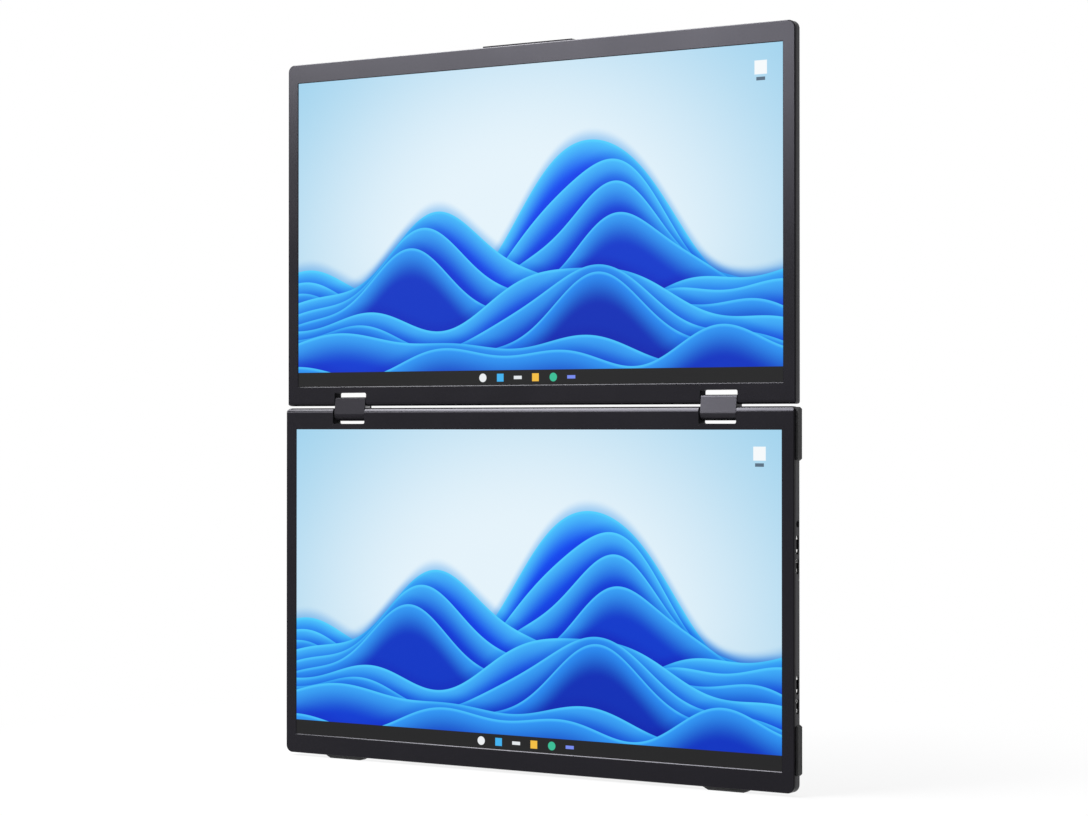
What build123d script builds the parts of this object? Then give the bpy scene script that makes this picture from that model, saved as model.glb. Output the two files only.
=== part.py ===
from build123d import *

import math
import os

# Dual portable monitor: two thin displays, one above the other, joined by two geared two-axis hinges,
# with a fold-out foot plate at the back of the lower one. Millimetres.
# X runs to the viewer's right, Y to the back and Z up. The pieces are drawn from the middle of the
# screens' width and the upper display's front face, with the desk at zero. They are written with the
# origin on the desk, under the centre of the whole.

# Displays
SCREEN_W = 344.2
SCREEN_H = 193.6
FREE_EDGE_SPACE = 8.8     # room between the module and the wall of each housing's free edge
UPPER_DEPTH = 7.0
LOWER_DEPTH = 8.2
FRONT_STEP = 1.8          # the lower front face stands this far ahead of the upper one
HINGE_GAP = 1.3           # air between the two housings
CORNER_R = 4.5
UPPER_HINGE_CORNER_R = 1.5
LOWER_HINGE_CORNER_R = 3.0

# Mouldings
BEZEL_DEPTH = 2.0
SKIN = 1.0                # front skin of the bezel
SIDE_WALL = 1.4
BACK_WALL = 1.2
FRONT_EDGE_R = 0.6
BACK_EDGE_R = 1.5
INNER_CORNER_R = 2.5
GROOVE_W = 0.4            # shadow line between bezel and rear cover
GROOVE_D = 0.35
UPPER_FRONT_ROUND = 2.4   # roundings of the hinge edges, which let the housings fold
UPPER_BACK_ROUND = 2.2
LOWER_FRONT_ROUND = 3.0
LOWER_BACK_ROUND = 3.0
FIT = 0.1                 # slack round a fixed piece
GLIDE = 0.3               # slack round a moving piece
RUN = 0.05                # radial running clearance of a shaft
TAB_W = 65.0              # finger tab on the upper edge
TAB_H = 0.9
TAB_SET_BACK = 0.8
TAB_BEVEL = 1.0

# Display modules
LIP = 0.5                 # glass face behind the bezel's front
WINDOW_BEVEL = 0.4        # slope round the front of the bezel's window
CELL_T = 0.9
GUIDE_T = 1.0
TRAY_T = 0.4
CELL_BORDER = 1.8
GUIDE_INSET = 0.6
TIMING_BOARD_END = 22.1   # the board ends this far inside the screen, each side
TIMING_BOARD_H = 11.0
TIMING_BOARD_T = 0.6
TIMING_BOARD_UP = 3.0     # above the module's lower edge
RIBBON_CLEAR = 2.3        # ribbon socket outside the stand's pocket
RIBBON_SOCKET_W = 9.0
RIBBON_SOCKET_H = 4.0
RIBBON_SOCKET_UP = 3.5    # above the timing board's lower edge
SOCKET_LOW = 1.0
SOCKET_HIGH = 2.0
RIBBON_T = 0.3
RIBBON_IN = 1.0           # ribbon narrower than its socket, each side

# Hinges
HINGE_IN = 49.0           # middle of a hinge, from the housing's side
NOTCH_W = 24.4
NOTCH_R = 1.0
UPPER_NOTCH = 8.3
LOWER_NOTCH = 9.9
UPPER_NOTCH_SPARE = 0.7   # room between the notch wall and the module
LOWER_NOTCH_SPARE = 0.3
LOWER_AXIS_DROP = 3.9     # lower shaft below the lower housing's hinge edge
UPPER_AXIS_RISE = 3.0     # upper shaft above the upper housing's hinge edge
LOWER_AXIS_DEPTH = 3.4    # lower shaft behind the lower front face
UPPER_AXIS_DEPTH = 4.4    # upper shaft behind the upper front face
COVER_W = 23.2
COVER_WALL = 0.7
COVER_END_WALL = 1.0
COVER_ABOVE = 2.5         # cover above the upper shaft
COVER_BELOW = 4.2         # cover below the lower shaft
COVER_FRONT_TOP = 0.3     # cover's front face at its top and bottom, from the upper front plane
COVER_FRONT_BOTTOM = -1.7
COVER_BACK_TOP = 7.1
COVER_BACK_BOTTOM = 6.3
COVER_ROUND_TOP = 1.5
COVER_ROUND_BOTTOM = 4.0
COVER_ROUND_BACK_TOP = 1.2
COVER_ROUND_BACK_BOTTOM = 2.4
SHAFT_R = 1.4
NECK_R = 0.9
TRUNNION_R = 0.6
TRAIN = 4                 # gears in a row, from shaft to shaft
TEETH = 12
ADDENDUM = 0.9            # tooth height above and below the pitch circle, in modules
DEDENDUM = 1.15
TOOTH_BACKLASH = 0.09
PRESSURE_ANGLE = 20.0
PLATE_INSET = 0.3         # inner hinge plate behind the cover's mouth
PLATE_T = 1.2
GEAR_W = 2.8
GEAR_SIDE_GAP = 0.1
WASHER_T = 0.4
WASHER_R = 1.65
WASHERS = 2
WASHER_GAP = 0.05
NUT_FLATS = 3.0
NUT_T = 1.6
NECK_SPARE = 0.4
SHAFT_REACH = 6.8         # round part of the shaft inside the housing, from the notch
FLAT_REACH = 20.8         # end of the flattened part, from the notch
BRACKET_T = 1.0
BRACKET_L = 30.0
BRACKET_EDGE = 0.6        # metal left round a screw head
BRACKET_SCREWS = (10.5, 26.0)
BRACKET_SCREW_OFF = 4.5   # from the shaft, towards the screen

# Screws
SCREW_R = 1.0
SCREW_HEAD_R = 1.7
SCREW_HEAD_T = 0.6
SOCKET_R = 0.45           # drive recess in the screw heads
SOCKET_DEPTH = 0.35
BOSS_R = 2.0
BOSS_OFF_MODULE = 0.3
BOSS_OFF_WALL = 0.4
COVER_SCREW_FREE = 8.0            # rear cover screws, from the housing's free edge
COVER_SCREW_HINGE = (35.0, 114.0)     # and from its hinge edge
CONE_DEPTH = 0.7
SCREW_SHORT = 1.0         # cover screws end this far behind the parting line

# Stand
STAND_W = 200.0
STAND_TAPER = 5.0         # narrower at the tip by this, each side
STAND_TAPER_FROM = 52.0
STAND_T = 2.0
STAND_REACH = 104.0       # from the pin to the free edge
STAND_ROOT = 1.5          # plate begins this far from the pin
STAND_OUT = 0.3           # plate's inner face outside the pin's plane when folded in
STAND_CORNER_R = 8.0
STAND_AXIS_UP = 6.6       # pin above the lower housing's bottom edge
STAND_AXIS_IN = 2.4       # pin ahead of the back face
KNUCKLE_R = 2.4
KNUCKLE_L = 30.0
KNUCKLE_IN = 25.0         # middle of a knuckle, from the stand's side
PIN_R = 1.2
PIN_OVER = 3.0            # pin held by the housing at each end
STRIP_R = 1.2             # rubber strip near the stand's free edge
STRIP_PROUD = 1.0
STRIP_END = 10.0          # the strip stops this far from the tip's corners
STRIP_IN = 7.0
RECESS_FLOOR = 1.2
FINGER_NOTCH_R = 11.0

# Feet
FOOT_H = 2.0
FOOT_IN = 44.8            # middle of a foot, from the housing's side
FOOT_BASE = 31.0
FOOT_FLAT = 23.0
FOOT_FRONT = 0.4          # feet start behind the parting line
FOOT_BACK = 0.4           # and end ahead of the back face
SIDE_FOOT_T = 1.3
SIDE_FOOT_TOP = (0.4, 30.9)       # from the lower housing's top edge
SIDE_FOOT_BOTTOM = (9.5, 38.4)    # from the lower housing's bottom edge
SIDE_FOOT_BEVEL = 1.1

# Electronics: two groups of sockets, each placed by its display socket
GROUP_1_DOWN = 78.7       # from the lower housing's top edge
GROUP_2_UP = 61.1         # from its bottom edge
JACK_ABOVE = 11.9
USB_BELOW = 12.1
LED_BELOW = 20.0
BOARD_ABOVE = (19.2, 10.4)
BOARD_H = (46.0, 38.0)
BOARD_T = 0.8
BOARD_OFF_BACK = 0.1
BOARD_OFF_WALL = 1.2
CHIP = 9.0
CHIP_T = 0.9
CHIP_IN = (21.0, 42.0)    # from the board's outer end
HDMI_W = 11.2
HDMI_T = 3.2
HDMI_DEPTH = 7.5
HDMI_MOUTH_W = 10.4
HDMI_MOUTH_T = 2.4
HDMI_BEVEL = 0.9
HDMI_TONGUE_W = 7.8
HDMI_TONGUE_IN = 1.5
USB_W = 8.94
USB_T = 3.2
USB_DEPTH = 7.3
USB_MOUTH_W = 8.34
USB_MOUTH_T = 2.56
USB_TONGUE_W = 6.7
USB_TONGUE_IN = 1.0
TONGUE_T = 0.7
MOUTH_DEPTH = 6.0
PORT_SLACK = 0.25
PORT_SET_BACK = 0.3       # socket faces behind the outside of the wall
JACK_W = 6.2
JACK_T = 4.0
JACK_DEPTH = 12.5
JACK_R = 1.75
JACK_BORE = 11.0
LED_R = 0.6
LED_BACK = 1.8            # lens centre ahead of the back face
LED_PIN_IN = 1.0          # lens pin inside the wall
SPEAKER_W = 34.0
SPEAKER_H = 12.0
SPEAKER_T = 3.0
SPEAKER_RIM = 1.0
SPEAKER_OFF_RIBBON = 4.0
SPEAKER_UP = 20.0
GRILLE_SLOTS = 7
GRILLE_PITCH = 4.0
GRILLE_SLOT_W = 1.2
GRILLE_SLOT_H = 8.0

# Menu rockers on the left wall
ROCKER_DOWN = (133.4, 170.4)      # from the lower housing's top edge
ROCKER_L = 13.0
ROCKER_W = 2.4
ROCKER_PROUD = 0.3
ROCKER_BODY = 2.4
ROCKER_CROWN = 0.25
ROCKER_HUB_R = 1.15
ROCKER_PIN_R = 0.5
ROCKER_PIN_IN = 3.4       # pin inside the wall's outer face
ROCKER_PIN_L = 4.4
ROCKER_SPAN = 3.0         # cheek blocks that hold the pin
ROCKER_MID = 3.4          # rocker's middle ahead of the back face

# Display cable
CABLE_R = 0.9
CABLE_SIDES = 8           # few, because nothing shows it
CABLE_RUN = 10.5          # corner beyond the notch wall
CABLE_BEND = 4.5
CABLE_EASE = 12.0         # radius of the gentle bend behind the module
CABLE_DIP = 5.6           # drop over which the lower cable moves back, behind the module
CABLE_OFF_STACK = 0.6
CABLE_PLUG_L = 7.0
CABLE_PLUG_W = 5.0
LINK_RUN = 3.0

OVER = 1.0                # cutting shapes reach this far past the surface that they cut

# Places that follow from the sizes
HOUSING_W = SCREEN_W + 2 * (CELL_BORDER + BOSS_OFF_MODULE + 2 * BOSS_R + BOSS_OFF_WALL + SIDE_WALL)
FREE_MARGIN = CELL_BORDER + FREE_EDGE_SPACE + SIDE_WALL
UPPER_H = FREE_MARGIN + SCREEN_H + CELL_BORDER + UPPER_NOTCH_SPARE + SIDE_WALL + UPPER_NOTCH
LOWER_H = FREE_MARGIN + SCREEN_H + CELL_BORDER + LOWER_NOTCH_SPARE + SIDE_WALL + LOWER_NOTCH
HINGE_X = HOUSING_W / 2 - HINGE_IN
FOOT_X = HOUSING_W / 2 - FOOT_IN
KNUCKLE_X = STAND_W / 2 - KNUCKLE_IN
STAND_TIP_W = STAND_W - 2 * STAND_TAPER
STAND_POCKET = STAND_W / 2 + GLIDE + SIDE_WALL
RIBBON_SOCKET_X = STAND_POCKET + RIBBON_CLEAR + RIBBON_SOCKET_W
SPEAKER_X = RIBBON_SOCKET_X + SPEAKER_OFF_RIBBON + SPEAKER_W / 2
LOWER_Z0 = FOOT_H
LOWER_Z1 = LOWER_Z0 + LOWER_H
UPPER_Z0 = LOWER_Z1 + HINGE_GAP
UPPER_Z1 = UPPER_Z0 + UPPER_H
LOWER_AXIS = (LOWER_AXIS_DEPTH - FRONT_STEP, LOWER_Z1 - LOWER_AXIS_DROP)
UPPER_AXIS = (UPPER_AXIS_DEPTH, UPPER_Z0 + UPPER_AXIS_RISE)
AXIS_SPACING = math.dist(LOWER_AXIS, UPPER_AXIS)
AXIS_LEAN = math.degrees(math.atan2(UPPER_AXIS[0] - LOWER_AXIS[0], UPPER_AXIS[1] - LOWER_AXIS[1]))
GEAR_PITCH_R = AXIS_SPACING / (2 * (TRAIN - 1))
MODULE = 2 * GEAR_PITCH_R / TEETH
SIDES = {"left": -1, "right": 1}


class Housing:
    """One display housing: its place, its screen, and the edge that the hinges are let into."""

    def __init__(self, name, front, depth, z0, z1, hinge_at_top, hinge_corner, rounds, notch, axis):
        self.name = name
        self.front = front
        self.back = front + depth
        self.z0 = z0
        self.z1 = z1
        self.hinge_at_top = hinge_at_top
        self.hinge_corner = hinge_corner
        self.rounds = rounds
        self.notch = notch
        self.axis = axis
        self.parting = front + BEZEL_DEPTH
        self.skin = front + SKIN
        self.glass = front + LIP
        self.inner_back = self.back - BACK_WALL
        self.stack_back = self.glass + CELL_T + GUIDE_T + TRAY_T
        self.screen_z0 = z0 + FREE_MARGIN if hinge_at_top else z1 - FREE_MARGIN - SCREEN_H
        self.screen_z1 = self.screen_z0 + SCREEN_H
        self.inward = -1 if hinge_at_top else 1      # from the hinge edge towards the screen
        self.hinge_edge = z1 if hinge_at_top else z0
        self.free_edge = z0 if hinge_at_top else z1


UPPER = Housing(
    "upper", 0.0, UPPER_DEPTH, UPPER_Z0, UPPER_Z1, False, UPPER_HINGE_CORNER_R,
    (UPPER_FRONT_ROUND, UPPER_BACK_ROUND), UPPER_NOTCH, UPPER_AXIS,
)
LOWER = Housing(
    "lower", -FRONT_STEP, LOWER_DEPTH, LOWER_Z0, LOWER_Z1, True, LOWER_HINGE_CORNER_R,
    (LOWER_FRONT_ROUND, LOWER_BACK_ROUND), LOWER_NOTCH, LOWER_AXIS,
)

STAND_AXIS = (LOWER.back - STAND_AXIS_IN, LOWER_Z0 + STAND_AXIS_UP)
STRIP_FROM_PIN = STAND_REACH - STRIP_IN
STRIP_CENTRE_OUT = STAND_OUT + STAND_T + STRIP_PROUD - STRIP_R
STAND_SLOPE = math.degrees(
    math.asin((STAND_AXIS[1] - STRIP_R) / math.hypot(STRIP_FROM_PIN, STRIP_CENTRE_OUT))
    - math.atan2(STRIP_CENTRE_OUT, STRIP_FROM_PIN)
)
SLOPE = math.radians(STAND_SLOPE)
STAND_BACK = STAND_AXIS[0] + STAND_REACH * math.cos(SLOPE) - STAND_OUT * math.sin(SLOPE)

# Centre of the whole, from side to side and from front to back
CENTRE_X = (SIDE_FOOT_T - ROCKER_PROUD) / 2
CENTRE_Y = (LOWER.front + STAND_BACK) / 2


def block(x0, x1, y0, y1, z0, z1):
    """A box between two corners, given in any order."""
    middle = Pos((x0 + x1) / 2, (y0 + y1) / 2, (z0 + z1) / 2)
    return middle * Box(abs(x1 - x0), abs(y1 - y0), abs(z1 - z0))


def slab(y0, y1):
    """Everything between two depths."""
    return block(-HOUSING_W, HOUSING_W, y0, y1, -HOUSING_W, 2 * HOUSING_W)


def rod_x(y, z, radius, x0, x1):
    """A round bar along X."""
    return Pos((x0 + x1) / 2, y, z) * Rot(0, 90, 0) * Cylinder(radius, abs(x1 - x0))


def rod_y(x, z, radius, y0, y1):
    """A round bar along Y."""
    return Pos(x, (y0 + y1) / 2, z) * Rot(90, 0, 0) * Cylinder(radius, abs(y1 - y0))


def plate(outline, y0, y1):
    """A front-view outline, drawn in X and Z, given thickness from y0 to y1."""
    return extrude(Plane.XZ.offset(-y0) * outline, amount=y1 - y0, dir=(0, 1, 0))


def bar(section, x0, x1):
    """A side-view section, drawn in Y and Z, drawn out along X."""
    low, high = min(x0, x1), max(x0, x1)
    return extrude(Plane.YZ.offset(low) * section, amount=high - low, dir=(1, 0, 0))


def rounded(width, z0, z1, r_low=0.0, r_high=0.0, x=0.0):
    """A rectangle whose lower and upper corners have their own radii."""
    sketch = Pos(x, (z0 + z1) / 2) * Rectangle(width, z1 - z0)
    if r_low > 0:
        sketch = fillet(sketch.vertices().group_by(Axis.Y)[0], r_low)
    if r_high > 0:
        sketch = fillet(sketch.vertices().sort_by(Axis.Y)[-2:], r_high)
    return sketch


# Housings

def housing_outline(h, inset=0.0):
    """The housing seen from the front, or a line that far inside it."""
    free_r = max(CORNER_R - inset, INNER_CORNER_R)
    hinge_r = max(h.hinge_corner - inset, 0.0)
    r_low, r_high = (free_r, hinge_r) if h.hinge_at_top else (hinge_r, free_r)
    return rounded(HOUSING_W - 2 * inset, h.z0 + inset, h.z1 - inset, r_low, r_high)


def fold_profile(h):
    """The housing seen from the side, with the two roundings of its hinge edge."""
    section = Pos((h.front + h.back) / 2, (h.z0 + h.z1) / 2) * Rectangle(h.back - h.front, h.z1 - h.z0)
    for y, radius in zip((h.front, h.back), h.rounds):
        corner = section.vertices().sort_by_distance((y, h.hinge_edge, 0))[0]
        section = fillet([corner], radius)
    return section


def notch_cut(h, grow=0.0):
    """The two notches that the hinges swing in, or the walls' outlines round them."""
    beyond = h.hinge_edge - h.inward * (CORNER_R + OVER)
    depth = h.hinge_edge + h.inward * (h.notch + grow)
    z0, z1 = min(beyond, depth), max(beyond, depth)
    r_low, r_high = (NOTCH_R, 0.0) if h.hinge_at_top else (0.0, NOTCH_R)
    cuts = Part()
    for sign in SIDES.values():
        outline = rounded(NOTCH_W + 2 * grow, z0, z1, r_low, r_high, sign * HINGE_X)
        cuts += plate(outline, h.front - OVER, h.back + OVER)
    return cuts


def envelope(h):
    """The closed outside of one housing, before it is parted and hollowed."""
    body = plate(housing_outline(h), h.front, h.back)
    body = fillet(body.edges().group_by(Axis.Y)[0], FRONT_EDGE_R)
    body = fillet(body.edges().group_by(Axis.Y)[-1], BACK_EDGE_R)
    body = body & bar(fold_profile(h), -HOUSING_W, HOUSING_W)
    if not h.hinge_at_top:
        body = body + finger_tab(h)
    return body - notch_cut(h)


def finger_tab(h):
    """The low lip on the free edge that a finger lifts."""
    foot, top = TAB_W / 2, TAB_W / 2 - TAB_BEVEL
    z_root, z_top = h.z1 - 2 * TAB_H, h.z1 + TAB_H
    section = make_face(Polyline((-foot, z_root), (foot, z_root), (top, z_top), (-top, z_top), close=True))
    return plate(section, h.front + TAB_SET_BACK, h.back - TAB_SET_BACK)


def cover_screw_places(h):
    """Front-view places of the screws that hold bezel and rear cover together."""
    x = SCREEN_W / 2 + CELL_BORDER + BOSS_OFF_MODULE + BOSS_R
    heights = [h.hinge_edge + h.inward * reach for reach in COVER_SCREW_HINGE]
    heights.append(h.free_edge - h.inward * COVER_SCREW_FREE)
    return [(sign * x, z) for sign in SIDES.values() for z in heights]


def bracket_screw_places(h, sign):
    """Front-view places of one hinge bracket's screws."""
    notch_side = HINGE_X - NOTCH_W / 2
    z = h.axis[1] + h.inward * BRACKET_SCREW_OFF
    return [(sign * (notch_side - reach), z) for reach in BRACKET_SCREWS]


def window_bevel(h):
    """The slope round the front of a bezel's window."""
    reach = WINDOW_BEVEL
    outline = rounded(SCREEN_W + 2 * reach, h.screen_z0 - reach, h.screen_z1 + reach)
    face = Plane.XZ.offset(-h.front) * outline
    return extrude(face, amount=reach, dir=(0, 1, 0), taper=45)


def bezel(h, shell):
    """Front frame: a thin skin with a rim, a stepped window for the module, and screw bosses."""
    part = shell & slab(h.front - OVER, h.parting)
    part -= plate(rounded(SCREEN_W, h.screen_z0, h.screen_z1), h.front - OVER, h.parting + OVER)
    part -= window_bevel(h)
    part -= plate(module_outline(h, FIT), h.glass, h.parting + OVER)
    hollow = plate(housing_outline(h, SIDE_WALL), h.skin, h.parting + OVER) - notch_cut(h, SIDE_WALL)
    part -= hollow
    for x, z in cover_screw_places(h):
        part += rod_y(x, z, BOSS_R, h.skin, h.inner_back)
    for x, z in cover_screw_places(h):
        part -= rod_y(x, z, SCREW_R, h.parting, h.back)
    return part - shaft_holes(h)


def shaft_holes(h):
    """Round holes through the notch walls for the shafts, and for the cable beside the right hinge."""
    y, z = h.axis
    half = NOTCH_W / 2
    holes = rod_x(y, z, CABLE_R + FIT, HINGE_X + half - OVER, HINGE_X + half + SIDE_WALL + OVER)
    for sign in SIDES.values():
        near, far = HINGE_X - half + OVER, HINGE_X - half - SIDE_WALL - OVER
        holes += rod_x(y, z, SHAFT_R + FIT, sign * far, sign * near)
    return holes


def rear_cover(h, shell, keep=None):
    """Back shell: side walls, back wall, notch walls, bracket bosses and countersunk screw holes."""
    part = shell & slab(h.parting, h.back + OVER)
    rim = plate(housing_outline(h, GROOVE_D), h.parting - OVER, h.parting + GROOVE_W)
    part -= slab(h.parting - OVER, h.parting + GROOVE_W) - rim
    hollow = plate(housing_outline(h, SIDE_WALL), h.parting - OVER, h.inner_back) - notch_cut(h, SIDE_WALL)
    if keep is not None:
        hollow -= keep
    part -= hollow
    boss_front = h.axis[0] + BRACKET_T
    for sign in SIDES.values():
        for x, z in bracket_screw_places(h, sign):
            part += rod_y(x, z, BOSS_R, boss_front, h.inner_back + BACK_WALL / 2)
            part -= rod_y(x, z, SCREW_R + RUN, boss_front - OVER, h.inner_back + BACK_WALL / 2)
    for x, z in cover_screw_places(h):
        part -= rod_y(x, z, SCREW_R + RUN, h.inner_back - OVER, h.back + OVER)
        part -= countersink(x, z, h.back)
    return part - shaft_holes(h)


def countersink(x, z, back):
    """The cone that a flat screw head sits in, flush with the back face."""
    cone = Cone(SCREW_R, SCREW_HEAD_R, CONE_DEPTH)
    return Pos(x, back - CONE_DEPTH / 2, z) * Rot(-90, 0, 0) * cone


def lower_keep():
    """Solid stretches of the lower back shell: behind the recess, round its pins and at the rockers."""
    y0, axis_z = STAND_AXIS[0] + STAND_OUT - FIT - RECESS_FLOOR, STAND_AXIS[1]
    top = axis_z + STAND_REACH + FINGER_NOTCH_R
    keep = block(-STAND_POCKET, STAND_POCKET, y0, LOWER.back, LOWER_Z0, top)
    reach = KNUCKLE_L / 2 + GLIDE + PIN_OVER + SIDE_WALL
    for sign in SIDES.values():
        x = sign * KNUCKLE_X
        top_of_trough = axis_z + KNUCKLE_R + GLIDE + FIT
        keep += block(x - reach, x + reach, LOWER.parting - OVER, LOWER.back, LOWER_Z0, top_of_trough)
    for z in rocker_heights():
        keep += rocker_cheeks(z)
    return keep


def stand_recess():
    """Everything cut from the lower back shell for the stand to lie and turn in."""
    y, z = STAND_AXIS
    floor = y + STAND_OUT - FIT
    lip = z - STAND_OUT - STAND_T - GLIDE - FIT
    top = z + STAND_REACH + GLIDE
    recess = plate(rounded(STAND_W + 2 * GLIDE, lip, top, 0.0, STAND_CORNER_R), floor, LOWER.back + OVER)
    recess += rod_y(0, top, FINGER_NOTCH_R, floor, LOWER.back + OVER)
    for sign in SIDES.values():
        x, half = sign * KNUCKLE_X, KNUCKLE_L / 2 + GLIDE
        recess += rod_x(y, z, KNUCKLE_R + GLIDE, x - half, x + half)
        recess += block(x - half, x + half, y, LOWER.back + OVER, lip, z + KNUCKLE_R + GLIDE)
        recess += rod_x(y, z, PIN_R + RUN, x - half - PIN_OVER, x + half + PIN_OVER)
    return recess


def lower_rear_cover(shell):
    """The lower back shell with the stand's recess, the sockets' slots, rocker windows and grilles."""
    part = rear_cover(LOWER, shell, lower_keep()) - stand_recess()
    part -= port_openings()
    part -= rocker_windows()
    part -= speaker_grilles()
    return part


# Display modules

def module_outline(h, grow=0.0):
    """The display module seen from the front."""
    reach = CELL_BORDER + grow
    return rounded(SCREEN_W + 2 * reach, h.screen_z0 - reach, h.screen_z1 + reach)


def lcd_cell(h):
    return plate(module_outline(h), h.glass, h.glass + CELL_T)


def backlight(h):
    y0 = h.glass + CELL_T
    return plate(module_outline(h, -GUIDE_INSET), y0, y0 + GUIDE_T)


def backlight_tray(h):
    """Folded metal pan: a flat back and a low rim round the light guide."""
    rim_front = h.glass + CELL_T
    pan = plate(module_outline(h), rim_front, h.stack_back)
    return pan - plate(module_outline(h, -GUIDE_INSET), rim_front - OVER, h.stack_back - TRAY_T)


def timing_board(h):
    """The long narrow board behind the module's lower edge, with its ribbon socket."""
    z0 = timing_board_z(h)
    half = SCREEN_W / 2 - TIMING_BOARD_END
    board = block(-half, half, h.stack_back, h.stack_back + TIMING_BOARD_T, z0, z0 + TIMING_BOARD_H)
    socket_z = z0 + RIBBON_SOCKET_UP
    x0, x1 = RIBBON_SOCKET_X - RIBBON_SOCKET_W, RIBBON_SOCKET_X
    return board + block(x0, x1, h.stack_back, ribbon_socket_back(h), socket_z, socket_z + RIBBON_SOCKET_H)


def timing_board_z(h):
    return h.screen_z0 - CELL_BORDER + TIMING_BOARD_UP


def ribbon_socket_back(h):
    """Back face of the socket: low for the ribbon below, high for the round cable above."""
    return h.stack_back + TIMING_BOARD_T + (SOCKET_LOW if h.hinge_at_top else SOCKET_HIGH)


# Electronics of the lower housing

def port_y():
    """Middle of the sockets' depth, on the front of their boards."""
    return board_front() - HDMI_T / 2


def group_heights(above=0.0):
    """Heights of the two display sockets, or of what lies that far above them."""
    return [LOWER_Z1 - GROUP_1_DOWN + above, LOWER_Z0 + GROUP_2_UP + above]


def jack_height():
    return group_heights(JACK_ABOVE)[0]


def board_top(index):
    return group_heights(BOARD_ABOVE[index])[index]


def board_ends():
    """X of a board's inner end, at the ribbon sockets, and of its outer end."""
    return RIBBON_SOCKET_X - RIBBON_SOCKET_W, HOUSING_W / 2 - SIDE_WALL - BOARD_OFF_WALL


def board_front():
    return LOWER.inner_back - BOARD_OFF_BACK - BOARD_T


def wall_x():
    """Outer face of the sockets, just inside the right wall's outside."""
    return HOUSING_W / 2 - PORT_SET_BACK


def hdmi_mouth(grow=0.0):
    """Socket mouth seen from the side: a rectangle with its two inner corners cut off."""
    half_z, half_y = HDMI_MOUTH_W / 2 + grow, HDMI_MOUTH_T / 2 + grow
    cut = HDMI_BEVEL
    return make_face(Polyline(
        (-half_y, half_z), (-half_y, -half_z), (half_y - cut, -half_z), (half_y, -half_z + cut),
        (half_y, half_z - cut), (half_y - cut, half_z), close=True,
    ))


def usb_mouth(grow=0.0):
    """Socket mouth seen from the side, round at both ends."""
    return SlotOverall(USB_MOUTH_W + 2 * grow, USB_MOUTH_T + 2 * grow, rotation=90)


def at_port(section, height):
    return Pos(port_y(), height) * section


def hdmi_socket(height):
    """One display socket: metal shell, hollow mouth and contact tongue."""
    x1 = wall_x()
    shell = bar(at_port(Rectangle(HDMI_T, HDMI_W), height), x1 - HDMI_DEPTH, x1)
    shell -= bar(at_port(hdmi_mouth(), height), x1 - MOUTH_DEPTH, x1 + OVER)
    tongue = bar(at_port(Rectangle(TONGUE_T, HDMI_TONGUE_W), height), x1 - HDMI_DEPTH, x1 - HDMI_TONGUE_IN)
    return shell + tongue


def usb_socket(height):
    """One power and data socket: oval shell, hollow mouth and centre tongue."""
    x1 = wall_x()
    shell = bar(at_port(SlotOverall(USB_W, USB_T, rotation=90), height), x1 - USB_DEPTH, x1)
    shell -= bar(at_port(usb_mouth(), height), x1 - MOUTH_DEPTH, x1 + OVER)
    tongue = bar(at_port(Rectangle(TONGUE_T, USB_TONGUE_W), height), x1 - USB_DEPTH, x1 - USB_TONGUE_IN)
    return shell + tongue


def jack_y():
    return LOWER.inner_back - BOARD_OFF_BACK - JACK_T / 2


def audio_jack():
    x1 = wall_x()
    y, z = jack_y(), jack_height()
    body = block(x1 - JACK_DEPTH, x1, y - JACK_T / 2, y + JACK_T / 2, z - JACK_W / 2, z + JACK_W / 2)
    return body - rod_x(y, z, JACK_R, x1 - JACK_BORE, x1 + OVER)


def port_openings():
    """Slots through the right wall in front of each socket, and the holes of the jack and lamps."""
    x0, x1 = HOUSING_W / 2 - SIDE_WALL - OVER, HOUSING_W / 2 + OVER
    cuts = rod_x(jack_y(), jack_height(), JACK_R + PORT_SLACK, x0, x1)
    cuts += bar(Pos(jack_y(), jack_height()) * Rectangle(JACK_T + FIT, JACK_W + 2 * FIT), x0, wall_x())
    for z in group_heights():
        cuts += bar(at_port(hdmi_mouth(PORT_SLACK), z), x0, x1)
        cuts += bar(at_port(Rectangle(HDMI_T + 2 * FIT, HDMI_W + 2 * FIT), z), x0, wall_x())
    for z in group_heights(-USB_BELOW):
        cuts += bar(at_port(usb_mouth(PORT_SLACK), z), x0, x1)
        seat = SlotOverall(USB_W + 2 * FIT, USB_T + 2 * FIT, rotation=90)
        cuts += bar(at_port(seat, z), x0, wall_x())
    for z in group_heights(-LED_BELOW):
        cuts += rod_x(LOWER.back - LED_BACK, z, LED_R + RUN, x0, x1)
    return cuts


def led_lens(z):
    x1 = HOUSING_W / 2
    return rod_x(LOWER.back - LED_BACK, z, LED_R, x1 - SIDE_WALL - LED_PIN_IN, x1)


def video_board(index):
    """One converter board, cut out round the screw bosses and where the jack's body passes."""
    x0, x1 = board_ends()
    y0, z1 = board_front(), board_top(index)
    board = block(x0, x1, y0, y0 + BOARD_T, z1 - BOARD_H[index], z1)
    for x, z in cover_screw_places(LOWER):
        board -= rod_y(x, z, BOSS_R + FIT, y0 - OVER, y0 + BOARD_T + OVER)
    if index > 0:
        return board
    z, reach = jack_height(), JACK_W / 2 + FIT
    jack_end = wall_x() - JACK_DEPTH - FIT
    return board - block(jack_end, x1 + OVER, y0 - OVER, y0 + BOARD_T + OVER, z - reach, z + reach)


def board_chips():
    """Two flat chips on the front of each board."""
    chips = []
    y1 = board_front()
    for index, height in enumerate(BOARD_H):
        z = board_top(index) - height / 2
        for reach in CHIP_IN:
            x = board_ends()[1] - reach
            chips.append(block(x - CHIP, x, y1 - CHIP_T, y1, z - CHIP / 2, z + CHIP / 2))
    return chips


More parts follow.
